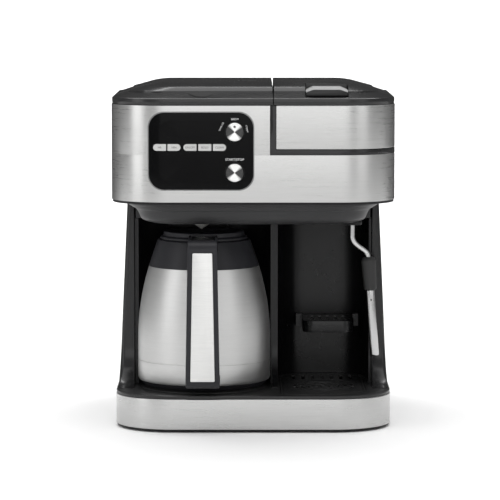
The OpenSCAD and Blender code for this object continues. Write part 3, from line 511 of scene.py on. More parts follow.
# ---------- rest plate, drip tray and grid ----------
# The carafe rests on a round moulded plate let into the deck. Beside it, a drip tray with a raised rim
# hangs in a pocket, under a grid with rings of slots.
def ring_of(centre, radius, z, count=128):
    """Circle of the given radius round centre (x, y) at height z."""
    a = np.linspace(0, 2 * math.pi, count, endpoint=False)
    return np.column_stack([centre[0] + radius * np.cos(a), centre[1] + radius * np.sin(a),
                            np.full(count, float(z))])


def turned(profile, centre, count=128, first_cap=False, last_cap=False):
    """Profile of (radius, height) points spun round an upright axis at centre (x, y)."""
    rings = [ring_of(centre, r, z, count) for r, z in profile]
    return surface(rings, first_cap=first_cap, last_cap=last_cap)


plate_low, plate_high = millimetres("rest_plate")
plate_centre = (plate_low + plate_high)[:2] / 2
plate_r = (plate_high[0] - plate_low[0]) / 2
plate_top = plate_high[2]
grooves = [[r - d, plate_top - h] for r in (52, 40, 28, 16) for d,
           h in ((0, 0.7), (0.8, 1.5), (3.2, 1.5), (4, 0.7))]
plate_profile = eased([[plate_r, plate_low[2]], [plate_r, plate_top - 0.8], [67, plate_top - 0.6],
                       [66.4, plate_top], [64.4, plate_top], [63.6, plate_top - 0.7]] + grooves, 0.4)
piece("rest_plate_skin", [turned(plate_profile, plate_centre, first_cap=True, last_cap=True)],
      "housing", worktop_black, ["rest_plate"])
finish_node("drip_tray", worktop_black)
finish_node("drip_grid", worktop_black, 0.0004)


# ---------- tower ----------
# Two hollow side cheeks, a moulded liner that makes the carafe's bay and the single-cup alcove, and at the
# back a frame, a vented cover and the cord's gland.
cheek_low, cheek_high = millimetres("right_cheek")
tower_front = base_front + 110
foot_run = 43
cheek_taper = 9.7
cheek_corner = 5.5


def cheek_skin(side):
    """Outside of a cheek as rings in plan, one for each height: the front edge leans forward near the deck
    along a quarter circle, the outer face leans in towards the top, and the outer front corner is round."""
    inner = cheek_low[0] + 0.1
    span = cheek_high[2] - cheek_low[2]
    heights = np.concatenate([np.linspace(0, 1, 18)[:-1] ** 1.6 * foot_run,
                              np.linspace(foot_run, span, 12)])
    rings = []
    for h in heights:
        outer = cheek_high[0] - cheek_taper * h / span
        lean = foot_run - math.sqrt(max(0, foot_run ** 2 - (foot_run - min(h, foot_run)) ** 2))
        front = tower_front - foot_run + (foot_run - lean if h < foot_run else foot_run)
        ring = loop(inner, outer, front, cheek_high[1], [1.5, cheek_corner, 2.5, 0.3], 8)
        rings.append(at_height(ring, cheek_low[2] + h) * [side, 1, 1])
    return surface(rings, first_cap=True, last_cap=True)


piece("right_cheek_skin", [cheek_skin(1)], "housing", shell_black, ["right_cheek"])
piece("left_cheek_skin", [cheek_skin(-1)], "housing", shell_black, ["left_cheek"])
# The liner's extra-dark black is painted shade for the inside of the bays.
finish_node("bay_liner", bay_black, 0.001)
finish_node("rear_frame", inner_plastic)
finish_node("rear_cover", inner_plastic, 0.0009)
finish_node("cord_gland", soft_rubber)

# Pump, heater block, steam boiler, boards and hoses stand on the deck behind the liner.
for node, mat in (("water_pump", valve_white), ("brew_heater", cast_alloy), ("steam_boiler", cast_alloy),
                  ("power_board", board_green), ("hoses", hose_milky), ("control_board", board_green)):
    finish_node(node, mat)


# ---------- head shell ----------
# A chassis carries the brew cup, the control panel and a steel band like the base's, cut away on the right
# for the pod head. Under it hangs a dark bowl-shaped floor with a soft S-shaped flank.
finish_node("head_chassis", inner_plastic, 0.0012)
for node in ("filter_basket", "pod_holder", "pod_nozzle", "wand_socket"):
    finish_node(node, inner_plastic)
finish_node("drip_valve", valve_white)

band_low, band_high = millimetres("head_band")
head_half = band_high[0]
head_front = band_low[1]
head_corner = 64
seam_low = 309.5
seam_left = 18.4
head_path = dict(half=head_half, front=head_front, corner=head_corner)
lower_band = wrapped_band(band_low[2], seam_low, 0.8, 0.05, left_end=("side", band_high[1]),
                          right_end=("side", band_high[1]), **head_path)
upper_band = wrapped_band(seam_low, band_high[2], 0.8, 0.05, left_end=("side", band_high[1]),
                          right_end=("front", seam_left), **head_path)
rear_rings = [[[head_half - d, y, z] for d, z in ((0, seam_low), (0, band_high[2]), (0.8, band_high[2]),
                                                  (0.8, seam_low))]
              for y in (62, band_high[1])]
band_piece = piece("head_band_skin", [lower_band, upper_band,
                                      surface(rear_rings, first_cap=True, last_cap=True)],
      "housing", band_steel, ["head_band"])

floor_low, floor_high = millimetres("brew_floor")
flank = [(0, 0, 254.2), (1.2, 0.2, 253.2), (2.8, 0.4, 252.0), (3.3, 1.4, 251.6), (4.2, 1.6, 251.1),
         (8.2, 1.7, 249.0),
         (11.2, 1.9, 247.1), (11.7, 3.0, 246.7), (12.4, 3.2, 246.2), (14.0, 3.4, 243.5), (15.4, 3.9, 240.3),
         (16.5, 4.8, 237.6), (18.0, 6.2, 235.6), (20.0, 7.8, 234.2), (23.3, 9.6, 233.0),
         (29.0, 12.4, 231.7),
         (35.0, 17.0, 231.0)]


def flank_ring(side, front, z):
    """Plan of the floor at one height: a rounded rectangle moved in by side and front. A lip, a level band
    and an S-shaped flank follow each other from the top down, with a fine step between them."""
    half = floor_high[0] - side
    corner = 48 - side * 0.5
    return at_height(loop(-half, half, floor_low[1] + front, tower_front - 0.8,
                          [corner, corner, 0.4, 0.4], 28), z)


ceiling = [at_height(loop(-134, 134, tower_front - 0.8, floor_high[1], [1, 1, 4, 4], 4), z)
           for z in (floor_high[2] - 1, floor_low[2] + 0.3)]
piece("brew_floor_skin",
      [surface([flank_ring(*step) for step in flank], first_cap=True, last_cap=True),
       surface(ceiling, first_cap=True, last_cap=True)],
      "housing", skirt_grey, ["brew_floor"])


# ---------- top deck ----------
# A black moulded rim sits on the steel, slopes up as a fascia to the lids, and runs on behind them as a
# flat deck with the hinge ears. A thumb notch is pressed into the fascia in front of the brew lid.
deck_low, deck_high = millimetres("top_deck")
lid_low, lid_high = millimetres("brew_lid")
cap_low = millimetres("pod_cap")[0]
rim_z = deck_low[2]
rim_top = 372.0
lid_inset = 20.0
jaw_rear = 60.0
notch_x = (lid_low[0] + lid_high[0]) / 2 + 2.0
fascia_section = eased(
    [[1.1, rim_z], [0.5, rim_z + 3.4], [0.5, rim_top - 0.7], [1.7, rim_top + 0.2], [lid_inset - 0.9, 377.8],
     [lid_inset - 0.5, 377.0], [lid_inset - 0.5, rim_z + 3], [8, rim_z + 3], [7, rim_z]], 0.5, closed=True)


def fascia(left_end, right_end, notch=False):
    """The rim's section carried round the front of the head, as a closed strip. With notch, its upper face
    is pressed down by an oval dip, one minus the squared distance from the oval's middle."""
    strips = np.array([at_height(wrap(inset, head_half, head_front, head_corner, left_end, right_end,
                                      steps=32), z)
                       for inset, z in fascia_section])
    if notch:
        away = ((strips[..., 0] - notch_x) / 17) ** 2 + ((strips[..., 1] - head_front - 14) / 11.5) ** 2
        strips[..., 2] -= np.where(strips[..., 2] > rim_top - 1, 6.0 * np.clip(1 - away, 0, 1), 0)
    return surface(np.swapaxes(strips, 0, 1), first_cap=True, last_cap=True)


def rear_deck():
    """Flat deck behind the lids: rounded rectangles whose sides and back shrink towards the top edge."""
    steps = eased([[1.1, rim_z], [0.5, rim_z + 3.4], [0.5, rim_top - 0.7], [1.7, rim_top]], 0.5)
    half = head_half
    rings = [at_height(loop(-half + d, half - d, jaw_rear + 2, deck_high[1] + 0.5 - d,
                            [0.6, 0.6, 15, 15]), z)
             for d, z in steps]
    return surface(rings, first_cap=True, last_cap=True)


def knuckle(x0, x1, y, z, r, base_z, reach_y=None):
    """Hinge knuckle along X: an upright D in section, its round top on the pin's axis, its ends eased."""
    front = y - r if reach_y is None else reach_y
    a = np.radians(np.linspace(0, 180, 17))
    section = np.concatenate([np.stack([y + r * np.cos(a), z + r * np.sin(a)], -1),
                              [[front, max(z, base_z)], [front, base_z], [y + r, base_z]]])
    middle = section.mean(0)
    rings = []
    for x, shrink in ((x0, 0.5), (x0 + 0.5, 0), (x1 - 0.5, 0), (x1, 0.5)):
        size = 1 - shrink / r
        ring = middle + (section - middle) * size
        rings.append(np.column_stack([np.full(len(ring), x), ring]))
    return surface(rings, first_cap=True, last_cap=True)


hinge_y = 66.0
lid_pin_z = 378.0
pod_pin_z = 372.0
barrel = 5.0
ear = 5.5
lid_knuckles = (-105.0, -8.0)
pod_knuckles = (56.0, 128.0)
ears = []
for places, z in ((lid_knuckles, lid_pin_z), (pod_knuckles, pod_pin_z)):
    for x in places:
        for side in (-1, 1):
            middle = x + side * (barrel + 0.4 + ear / 2)
            ears.append(knuckle(middle - ear / 2, middle + ear / 2, hinge_y, z, 4.5, rim_top - 2))
fascia_strip = fascia(("side", jaw_rear), ("front", 21.6), notch=True)
piece("top_deck_skin", [fascia_strip, rear_deck()] + ears, "housing", deck_black,
      ["top_deck"])
finish_node("hinge_pins", polished_steel, 0)

# The seam trim is a black moulding that shows as a thin upright and a thin level line round the pod head.
finish_node("pod_deck", shell_black, 0.0005)


# ---------- brew lid ----------
# One moulding, low at its edges and gently domed, with two barrels on the rear pins and the round spray
# head fixed under it.
crown = lid_high[2]
shoulder_z = 384.0


def crown_steps():
    """(front inset, inset from the free side, inset from the other edges, height) of the lid: an upright
    edge, a bevel that is steep in front and gentle at the side, and a dome that rises as one minus the
    square of what is left to the middle."""
    steps = [(0, 0, 0, rim_top + 0.4), (0, 0, 0, 378.6), (0.25, 0.3, 0.1, 379.3), (0.8, 1.6, 0.2, 379.8),
             (6.4, 15.4, 0.25, shoulder_z - 0.5), (7.2, 17.2, 0.3, shoulder_z)]
    for t in np.linspace(0.06, 1, 12):
        steps.append((7.2 + 30 * t, 17.2 + 26 * t, 0.3 + 0.1 * t,
                      shoulder_z + (crown - shoulder_z) * (1 - (1 - t) ** 2)))
    return steps


def lid_shell(x0, x1, free_left):
    """Lid over x0 to x1: a stack of rounded rectangles by crown_steps, free at the front and on one side."""
    rings = []
    corner = head_corner - lid_inset
    for front, side, other, z in crown_steps():
        r = max(corner - side * 0.35, 4)
        left, right = (side, other) if free_left else (other, side)
        radii = [r, 0.8, 0.8, 3] if free_left else [0.8, r, 3, 0.8]
        rings.append(at_height(loop(x0 + left, x1 - right, head_front + lid_inset + front,
                                    jaw_rear - other, radii, 24), z))
    return surface(rings, first_cap=True, last_cap=True)


lid_barrels = [knuckle(x - barrel, x + barrel, hinge_y, lid_pin_z, 4.0, lid_pin_z - 2,
                       jaw_rear - 1) for x in lid_knuckles]
piece("brew_lid_skin", [lid_shell(lid_low[0], lid_high[0], True)] + lid_barrels,
      "brew_cover", deck_black, ["brew_lid"])
finish_node("spray_head", inner_plastic)


# ---------- pod head ----------
# The jaw of the single-cup side: a black cap faced with its own steel panel, a latch in a pocket at the
# front of its top, and the press that closes on a pod.
cap_split = cap_low[0]
panel_low, panel_high = millimetres("pod_panel")
latch_low, latch_high = millimetres("pod_latch")
pocket = dict(x0=57.6, x1=105.4, y0=head_front + 6, y1=head_front + 46, floor=370.0)


def pod_top():
    """Fascia on the right and the domed cap; the latch's pocket is cut into both afterwards."""
    strip = np.array([at_height(wrap(inset, head_half, head_front, head_corner, ("front", cap_split),
                                     ("side", jaw_rear), steps=32), z)
                      for inset, z in fascia_section])
    strips = [surface(np.swapaxes(strip, 0, 1), first_cap=True, last_cap=True)]
    strips.append(lid_shell(cap_split, head_half - lid_inset, False))
    return strips


def box_ring(x0, x1, y0, y1, z, r=1.2):
    """Rounded rectangle of one corner radius at height z."""
    return at_height(loop(x0, x1, y0, y1, [r] * 4, 6), z)


def pod_box():
    """Closed shell of the jaw behind its steel panel: rounded front, flat left wall, flat back."""
    rings = []
    for z, d in ((316.4, 0.6), (316.9, 0), (rim_z + 0.2, 0)):
        half = head_half - 1 - d
        rings.append(at_height(loop(26.0 + d, half, head_front + 1 + d, jaw_rear - d,
                                    [1, head_corner - 1 - d, 1, 1], 24), z))
    return surface(rings, first_cap=True, last_cap=True)


pod_barrels = [knuckle(x - barrel, x + barrel, hinge_y, pod_pin_z, 4.0, pod_pin_z - 2,
                       jaw_rear - 1) for x in pod_knuckles]
pod_piece = piece("pod_cap_skin", pod_top() + [pod_box()] + pod_barrels, "pod_head", deck_black,
                  ["pod_cap"])

panel_path = dict(left_end=("front", panel_low[0]), right_end=("side", jaw_rear), **head_path)
piece("pod_panel_skin", [wrapped_band(panel_low[2], panel_high[2], 0.8, 0.5, **panel_path)],
      "pod_head", band_steel, ["pod_panel"])
finish_node("pod_press", inner_plastic)


def cut_pocket(part, name, points_low, points_high):
    """Cuts a round-cornered well into a finished piece, then keeps its crisp edges."""
    ring = [box_ring(points_low[0], points_high[0], points_low[1], points_high[1], z, 2.0)
            for z in (points_low[2], points_high[2])]
    points, faces = surface(ring, first_cap=True, last_cap=True)
    mesh = bpy.data.meshes.new(name)
    mesh.from_pydata((points * 0.001).tolist(), [], faces)
    shape = bmesh.new()
    shape.from_mesh(mesh)
    bmesh.ops.recalc_face_normals(shape, faces=shape.faces)
    shape.to_mesh(mesh)
    shape.free()
    well = bpy.data.objects.new(name, mesh)
    bpy.context.scene.collection.objects.link(well)
    cut = part.modifiers.new(name, "BOOLEAN")
    cut.operation = "DIFFERENCE"
    cut.solver = "EXACT"
    cut.use_self = True
    cut.object = well
    bpy.context.view_layer.objects.active = part
    part.select_set(True)
    bpy.ops.object.modifier_apply(modifier=name)
    part.select_set(False)
    bpy.data.objects.remove(well)
    part.data.set_sharp_from_angle(angle=math.radians(38))


cut_pocket(pod_piece, "latch_well", (pocket["x0"], pocket["y0"], pocket["floor"]),
           (pocket["x1"], pocket["y1"], 400))

# The latch is a lever with a black face plate and a silver-painted arch over it, which the thumb lifts.
latch_x0, latch_x1 = pocket["x0"] + 0.6, pocket["x1"] - 0.6
plate_outline = eased([[latch_x0 + 0.3, 374.2], [latch_x1 - 0.3, 374.2], [latch_x1 - 0.3, 380],
                       [latch_x1 - 8, 383.4],
                       [latch_x0 + 8, 383.4], [latch_x0 + 0.3, 380]], 1.2, closed=True)
arch_outline = eased([[latch_x0, 378.2], [latch_x0 + 8, 381.4], [latch_x1 - 8, 381.4], [latch_x1, 378.2],
                      [latch_x1, 380.9],
                      [latch_x1 - 8, 384.4], [latch_x0 + 8, 384.4], [latch_x0, 380.9]], 1.1, closed=True)


def upright_plate(outline, y0, y1, edge):
    """Plate whose outline is in X and Z, between two depths, with its edges eased by shrinking the
    outline towards its middle at both faces."""
    outline = np.array(outline)
    middle = (outline.max(0) + outline.min(0)) / 2
    half = (outline.max(0) - outline.min(0)) / 2
    rings = []
    for y, d in ((y0, edge), (y0 + edge * 0.3, edge * 0.3), (y0 + edge, 0), (y1 - edge, 0), (y1, edge)):
        ring = middle + (outline - middle) * (1 - d / half)
        rings.append(np.column_stack([ring[:, 0], np.full(len(ring), y), ring[:, 1]]))
    return surface(rings, first_cap=True, last_cap=True)


hub_rings = [box_ring(latch_x0 + 0.2, latch_x1 - 0.2, -108, -102.2, z, 1.0) for z in (376.2, 380.6)]
piece("pod_latch_skin", [upright_plate(arch_outline, latch_low[1], latch_high[1] - 0.2, 0.5)],
      "latch", latch_silver, ["pod_latch"])
piece("pod_latch_face",
      [upright_plate(plate_outline, latch_low[1] + 0.5, latch_low[1] + 3.8, 0.4),
       surface(hub_rings, first_cap=True, last_cap=True)],
      "latch", shell_black)


# ---------- control panel ----------
# A gloss black panel bent to the head's corner, proud of the steel with a rolled edge. Silver keys, a
# turned metal dial and a turned start button stand out of it, with small printed captions.
panel_lo, panel_hi = millimetres("control_panel")
overlap = 6.0
cut_pocket(band_piece, "panel_window",
           (panel_lo[0] + overlap - 1, head_front - 5, panel_lo[2] + overlap),
           (panel_hi[0] - overlap, head_front + 9, panel_hi[2] - overlap))


def on_face(x, z, proud):
    """Points on the head's front at x and z, standing proud of the steel: straight across the middle, and
    round the corner a circle of the corner's radius grown by proud."""
    x = np.asarray(x, float)
    edge = head_half - head_corner
    over = np.clip(np.abs(x) - edge, 0, None)
    r = head_corner + proud
    depth = np.where(over > 0, head_corner - np.sqrt(np.clip(r * r - over * over, 0, None)), -proud)
    return np.stack([x, head_front + depth, np.broadcast_to(np.asarray(z, float), x.shape)], -1)


def face_patch(outline, profile, middle=None):
    """Plate that follows the head's front: rings of one outline shrunk by each step's inset, standing
    proud by its height; the last ring is filled through smaller copies so that it keeps the curve."""
    outline = np.array(outline)
    centre = (outline.max(0) + outline.min(0)) / 2 if middle is None else np.array(middle)
    half = (outline.max(0) - outline.min(0)) / 2
    rings = []
    for inset, proud in profile:
        ring = centre + (outline - centre) * (1 - inset / half)
        rings.append(on_face(ring[:, 0], ring[:, 1], proud))
    last = centre + (outline - centre) * (1 - profile[-1][0] / half)
    for t in (0.8, 0.6, 0.4, 0.2, 0.001):
        ring = centre + (last - centre) * t
        rings.append(on_face(ring[:, 0], ring[:, 1], profile[-1][1]))
    return surface(rings, last_cap=True)


panel_outline = loop(panel_lo[0], panel_hi[0], panel_lo[2], panel_hi[2], [17.5] * 4, 24)
dense = []
for k in range(len(panel_outline)):
    a, b = panel_outline[k], panel_outline[(k + 1) % len(panel_outline)]
    n = max(1, int(np.linalg.norm(b - a) // 3))
    dense.append(a + (b - a) * np.linspace(0, 1, n, endpoint=False)[:, None])
panel_outline = np.concatenate(dense)
# Painted highlight: the bezel's mid grey stands in for the light caught along its bevel.
panel_rim_painted_highlight = moulded("panel_rim_painted_highlight", (0.16, 0.16, 0.16), 0.25, relief=0.03, coat=0.4)
piece("panel_bezel", [face_patch(panel_outline, [(0, -0.8), (0, 0.35), (0.25, 0.75), (1.5, 0.9)])],
      "housing", panel_rim_painted_highlight, ["control_panel"])
piece("panel_face", [face_patch(panel_outline, [(1.1, 0.4), (1.1, 0.85), (1.5, 1.0)])], "housing",
      panel_black)

key_height = 7.5
KEYS = {"hour": ("hour_key", "HR", True, False), "minute": ("minute_key", "MIN", False, True),
        "power": ("power_key", "ON/OFF", True, False), "bold": ("bold_key", "BOLD", False, False),
        "clean": ("clean_key", "CLEAN", False, True)}


def caption(name, words, x, z, height, proud, body, mat, spin=0.0):
    """Printed words as a thin mesh, laid on the front at x and z, centred, turned by spin degrees."""
    curve = bpy.data.curves.new(name, "FONT")
    curve.body = words
    curve.size = height
    curve.align_x, curve.align_y = "CENTER", "CENTER"
    curve.resolution_u = 3
    curve.extrude = 0.02
    text = bpy.data.objects.new(name + "_text", curve)
    bpy.context.scene.collection.objects.link(text)
    bpy.context.view_layer.update()
    mesh = bpy.data.meshes.new_from_object(text.evaluated_get(bpy.context.evaluated_depsgraph_get()))
    bpy.data.objects.remove(text)
    flat = np.zeros(len(mesh.vertices) * 3)
    mesh.vertices.foreach_get("co", flat)
    flat = flat.reshape(-1, 3)
    turn = math.radians(spin)
    px = x + flat[:, 0] * math.cos(turn) - flat[:, 1] * math.sin(turn)
    pz = z + flat[:, 0] * math.sin(turn) + flat[:, 1] * math.cos(turn)
    placed = on_face(px, pz, proud)
    placed[:, 1] -= flat[:, 2]
    mesh.vertices.foreach_set("co", (placed * 0.001).ravel())
    mesh.materials.clear()
    mesh.materials.append(mat)
    label = bpy.data.objects.new(name, mesh)
    bpy.context.scene.collection.objects.link(label)
    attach(label, body)
    return label


caption_ink = moulded("caption_ink", (0.03, 0.03, 0.03), 0.6, relief=0.0)
for key, (node, words, left_round, right_round) in KEYS.items():
    low, high = millimetres(node)
    mid_x, mid_z = (low[0] + high[0]) / 2, (low[2] + high[2]) / 2
    half_w, r = (high[0] - low[0]) / 2, key_height / 2
    left_r, right_r = r - 0.02 if left_round else 0.7, r - 0.02 if right_round else 0.7
    outline = loop(mid_x - half_w, mid_x + half_w, mid_z - r, mid_z + r,
                   [left_r, right_r, right_r, left_r], 10)
    piece(f"{key}_key_cap", [face_patch(outline, [(0, 0.2), (0, 1.45), (0.2, 1.75), (0.7, 1.9)])],
          f"key_{key}", key_silver, [node])
    caption(f"{key}_key_caption", words, mid_x, mid_z - 0.1, 3.0, 1.91, f"key_{key}", caption_ink)
    groove = loop(mid_x - half_w - 0.35, mid_x + half_w + 0.35, mid_z - r - 0.35, mid_z + r + 0.35,
                  [left_r + 0.3, right_r + 0.3, right_r + 0.3, left_r + 0.3], 10)
    piece(f"{key}_key_gap", [face_patch(groove, [(0, 1.0), (0, 1.02)])], "housing", bay_black)


def turned_front(profile, x, z, count=96):
    """Profile of (radius, depth y) points spun round an axis along Y at x and z."""
    a = np.linspace(0, 2 * math.pi, count, endpoint=False)
    rings = [np.column_stack([x + r * np.cos(a), np.full(count, float(y)), z + r * np.sin(a)]) for r,
             y in profile]
    return surface(rings, first_cap=True, last_cap=True)


def turned_metal(name, x, z):
    """Spun aluminium face: rings of fine grooves round (x, z) as bump, and a painted bow-tie highlight whose
    colour and roughness run from low to high with twice the angle round the middle.
    """
    mat, tree, shader, place = start_material(name)
    centre = tree.nodes.new("ShaderNodeMapping")
    centre.inputs["Location"].default_value = (-x * 0.001, 0, -z * 0.001)
    tree.links.new(place, centre.inputs["Vector"])
    part = tree.nodes.new("ShaderNodeSeparateXYZ")
    tree.links.new(centre.outputs["Vector"], part.inputs["Vector"])
    square = math_node(tree, "ADD", math_node(tree, "MULTIPLY", part.outputs["X"], part.outputs["X"]),
                       math_node(tree, "MULTIPLY", part.outputs["Z"], part.outputs["Z"]))
    radius = math_node(tree, "SQRT", square, 0.0)
    wave = math_node(tree, "SINE", math_node(tree, "MULTIPLY", radius, 21000.0), 0.0)
    angle = math_node(tree, "ARCTAN2", part.outputs["Z"], part.outputs["X"])
    # Painted highlight: the bow tie of light that spun metal shows is put into the base colour here, not made
    # by the grooves.
    painted_bow_tie = math_node(tree, "COSINE", math_node(tree, "MULTIPLY", math_node(tree, "ADD", angle, -1.5), 2.0),
                    0.0)
    painted_bow_highlight = math_node(tree, "ADD", math_node(tree, "MULTIPLY", painted_bow_tie, 0.5), 0.5)
    shade = spread_colour(tree, painted_bow_highlight, (0.06, 0.06, 0.06), (0.8, 0.8, 0.79))
    tree.links.new(shade, shader.inputs["Base Color"])
    shader.inputs["Metallic"].default_value = 1
    tree.links.new(spread_value(tree, painted_bow_highlight, 0.26, 0.36), shader.inputs["Roughness"])
    add_bump(tree, shader, wave, 0.00002, 0.25)
    return mat


for node, body, low_dot in (("mode_dial", "dial", True), ("start_button", "start", False)):
    low, high = millimetres(node)
    mid_x, mid_z = (low[0] + high[0]) / 2, (low[2] + high[2]) / 2
    r = (high[0] - low[0]) / 2
    face_y = low[1]
    profile = eased([[r - 1.6, face_y + 6], [r - 0.2, face_y + 5.2], [r, face_y + 1.2],
                     [r - 0.5, face_y + 0.2],
                     [r - 1.4, face_y + 0.05], [r - 1.9, face_y + 0.35], [1, face_y + 0.3]], 0.35)
    spun = turned_metal(f"{body}_metal", mid_x, mid_z)
    piece(f"{node}_cap", [turned_front(profile, mid_x, mid_z)], body, spun, [node])
    socket = eased([[r + 0.9, head_front - 0.9], [r + 0.8, head_front - 1.5], [r + 0.3, head_front - 1.6],
                    [r + 0.15, head_front - 1.0]], 0.2)
    piece(f"{node}_collar", [turned_front(socket, mid_x, mid_z)], "housing", bay_black)
    if low_dot:
        dot = [[1.3, face_y + 0.32], [1.25, face_y + 0.24], [0.8, face_y + 0.2]]
        piece("mode_dial_mark", [turned_front(dot, mid_x, mid_z + 5.8, 24)], body, caption_ink)
        for name, words, dx, dz, size, spin in (("caption_iced", "OVER ICE", -14.6, 5.6, 2.5, 64),
                                                ("caption_brew", "BREW", 0.3, 13.8, 3.1, 0),
                                                ("caption_steam", "STEAM", 13.4, 3.3, 2.6, -78)):
            caption(name, words, mid_x + dx, mid_z + dz, size, 1.02, "housing", caption_white,
                    spin)
    else:
        caption("caption_start", "START/STOP", mid_x, mid_z + 14.3, 3.7, 1.02, "housing", caption_white)


# ---------- steam wand ----------
# A ball turns in a black socket under the head. The steel tube bends outwards from it, a rubber grip is
# pushed over the tube, and the drawn frother sleeve slides on the end.
wand_y = -70.0
wand_r = 2.9
wand_tilt = math.radians(3.9)
wand_down = np.array([math.sin(wand_tilt), 0, -math.cos(wand_tilt)])
wand_top = np.array([130.2, wand_y, 190])
wand_bends = [[112, wand_y, 231], [112, wand_y, 211], [115, wand_y, 205], [120, wand_y, 201],
              [126, wand_y, 197],
              [129.4, wand_y, 193.5], wand_top, wand_top + wand_down * 100]


def swept(path, radii, count=32):
    """Circles of the given radii strung along a path that lies in a plane of constant Y."""
    path = np.array(path, float)
    ahead = np.gradient(path, axis=0)
    ahead /= np.linalg.norm(ahead, axis=1)[:, None]
    aside = np.column_stack([-ahead[:, 2], np.zeros(len(path)), ahead[:, 0]])
    a = np.linspace(0, 2 * math.pi, count, endpoint=False)
    radii = np.broadcast_to(radii, (len(path),))
    rings = [p + r * (np.cos(a)[:, None] * n + np.sin(a)[:, None] * np.array([0, 1, 0]))
             for p, n, r in zip(path, aside, radii)]
    return surface(rings, first_cap=True, last_cap=True)


def along_wand(profile):
    """Profile of (radius, distance down the straight part of the wand) turned about the wand."""
    return swept([wand_top + wand_down * t for r, t in profile], [r for r, t in profile], 64)


ball_turn = np.radians(np.linspace(2, 178, 24))
ball = swept([[112, wand_y, 233 + 7.5 * math.cos(b)] for b in ball_turn],
             [7.5 * math.sin(b) for b in ball_turn], 48)
bends = eased(wand_bends, 4.0, 7)
piece("wand_tube_skin", [swept(bends, wand_r), ball], "wand", polished_steel, ["wand_tube"])
grip_profile = eased([[3.1, 0.3], [6.2, 0.1], [8.4, 4], [7.0, 37.2], [5.2, 37.4]], [0, 1.5, 2, 1.2, 0])
piece("wand_grip_skin", [along_wand(grip_profile)], "wand", soft_rubber, ["wand_grip"])
sleeve_profile = eased([[3.8, 37.9], [4.9, 37.9], [4.9, 112.7], [2.2, 112.7]], [0, 0.7, 1.6, 0])
piece("frother_sleeve_skin", [along_wand(sleeve_profile)], "sleeve", polished_steel,
      ["frother_sleeve"])
# Painted shade: the air hole is not cut; a small black disc on the sleeve stands for its dark inside.
hole_at = wand_top + wand_down * 48.8
piece("frother_air_hole_shade_disc", [turned_front([[0.9, wand_y - 4.6], [0.9, wand_y - 4.89], [0.5, wand_y - 4.9]],
                                        hole_at[0], hole_at[2], 24)],
      "sleeve", bay_black)


# ---------- cup shelf ----------
# A slotted moulded shelf for short cups folds up on two pins behind the alcove.
finish_node("cup_shelf", bay_black, 0.0009)


# ---------- carafe ----------
# A drawn steel body with a curved shoulder stands in a moulded base ring, and a moulded collar closes its
# top. A bolted strap handle carries a brushed insert; the lid screws in, and a thumb lever lies on the strap.
shell_low, shell_high = millimetres("carafe_shell")
axis = ((shell_low + shell_high) / 2)[:2]
carafe_r = (shell_high[0] - shell_low[0]) / 2
collar_z = shell_high[2]
shoulder_start = 95.0
shoulder_arc = 548.0
finish_node("carafe_liner", carafe_steel, 0)


def body_radius(z):
    """Outer radius of the carafe: straight, then falling as the square of the height over shoulder_start."""
    return carafe_r - max(0, z - shoulder_start) ** 2 / shoulder_arc


seam = 72.7
wall = [[carafe_r - 3.4, shell_low[2] + 0.1], [carafe_r - 1, shell_low[2] + 0.1],
        [carafe_r - 0.05, shell_low[2] + 2.5],
        [carafe_r, seam - 0.6], [carafe_r - 0.3, seam - 0.35], [carafe_r - 0.3, seam + 0.15],
        [carafe_r, seam + 0.4]]
wall += [[body_radius(z), z] for z in np.linspace(shoulder_start - 6, collar_z, 24)]
wall += [[body_radius(z) - 0.9, z] for z in np.linspace(collar_z, shell_low[2] + 1.2, 12)]
piece("carafe_shell_skin", [turned(wall + [wall[0]], axis, 256)], "carafe", carafe_steel,
      ["carafe_shell"])

base_profile = eased([[2, 46.9], [2, 45], [60, 45], [61, 42.6], [67.5, 42.6], [73.5, 49.2], [70, 49.2],
                      [68, 52], [66, 47], [2, 46.9]],
                     [0, 0, 0.8, 0.8, 2.2, 0.5, 0.5, 0, 0, 0])
piece("carafe_base_skin", [turned(base_profile, axis, 192)], "carafe", collar_grey,
      ["carafe_base"])

collar_low, collar_high = millimetres("carafe_collar")
collar_top = collar_high[2]


def spout_ring(radius, z, reach, r):
    """Circle about the carafe's axis, pushed out towards the back where a circle of radius r centred reach
    behind the axis lies further out: reach cos a plus the root of r squared minus (reach sin a) squared."""
    a = np.linspace(0, 2 * math.pi, 288, endpoint=False)
    off = r * r - (reach * np.cos(a)) ** 2
    lobe = np.where((off > 0) & (np.sin(a) > 0), reach * np.sin(a) + np.sqrt(np.clip(off, 0, None)), 0)
    size = np.maximum(radius, lobe)
    return np.column_stack([axis[0] + size * np.cos(a), axis[1] + size * np.sin(a),
                            np.full(len(a), float(z))])


collar_profile = eased([[body_radius(collar_z) - 1.8, collar_low[2]],
                        [body_radius(collar_z) + 0.35, collar_low[2]],
                        [52.4, collar_top], [46.6, collar_top], [46.6, 193], [48.6, 191], [48.7, 186.2],
                        [52, 188],
                        [body_radius(collar_z) - 1.8, collar_low[2]]],
                        [0, 0.4, 1.4, 0.6, 0.5, 0.4, 0.3, 0.5, 0], 6)
collar_rings = []
for n, (r, z) in enumerate(collar_profile):
    up = min(max((z - 192) / 13, 0), 1)
    inside = 12 < n
    if inside:
        up = min(max((z - 198) / 8, 0), 1)
        collar_rings.append(spout_ring(r, z, 40 + 10 * up if z > 197 else 1, 7 + up if z > 197 else 1))
    else:
        collar_rings.append(spout_ring(r, z, 44 + 6 * up if z > 191 else 1, 9 + 1.9 * up if z > 191 else 1))
piece("carafe_collar_skin", [surface(collar_rings)], "carafe", collar_grey, ["carafe_collar"])

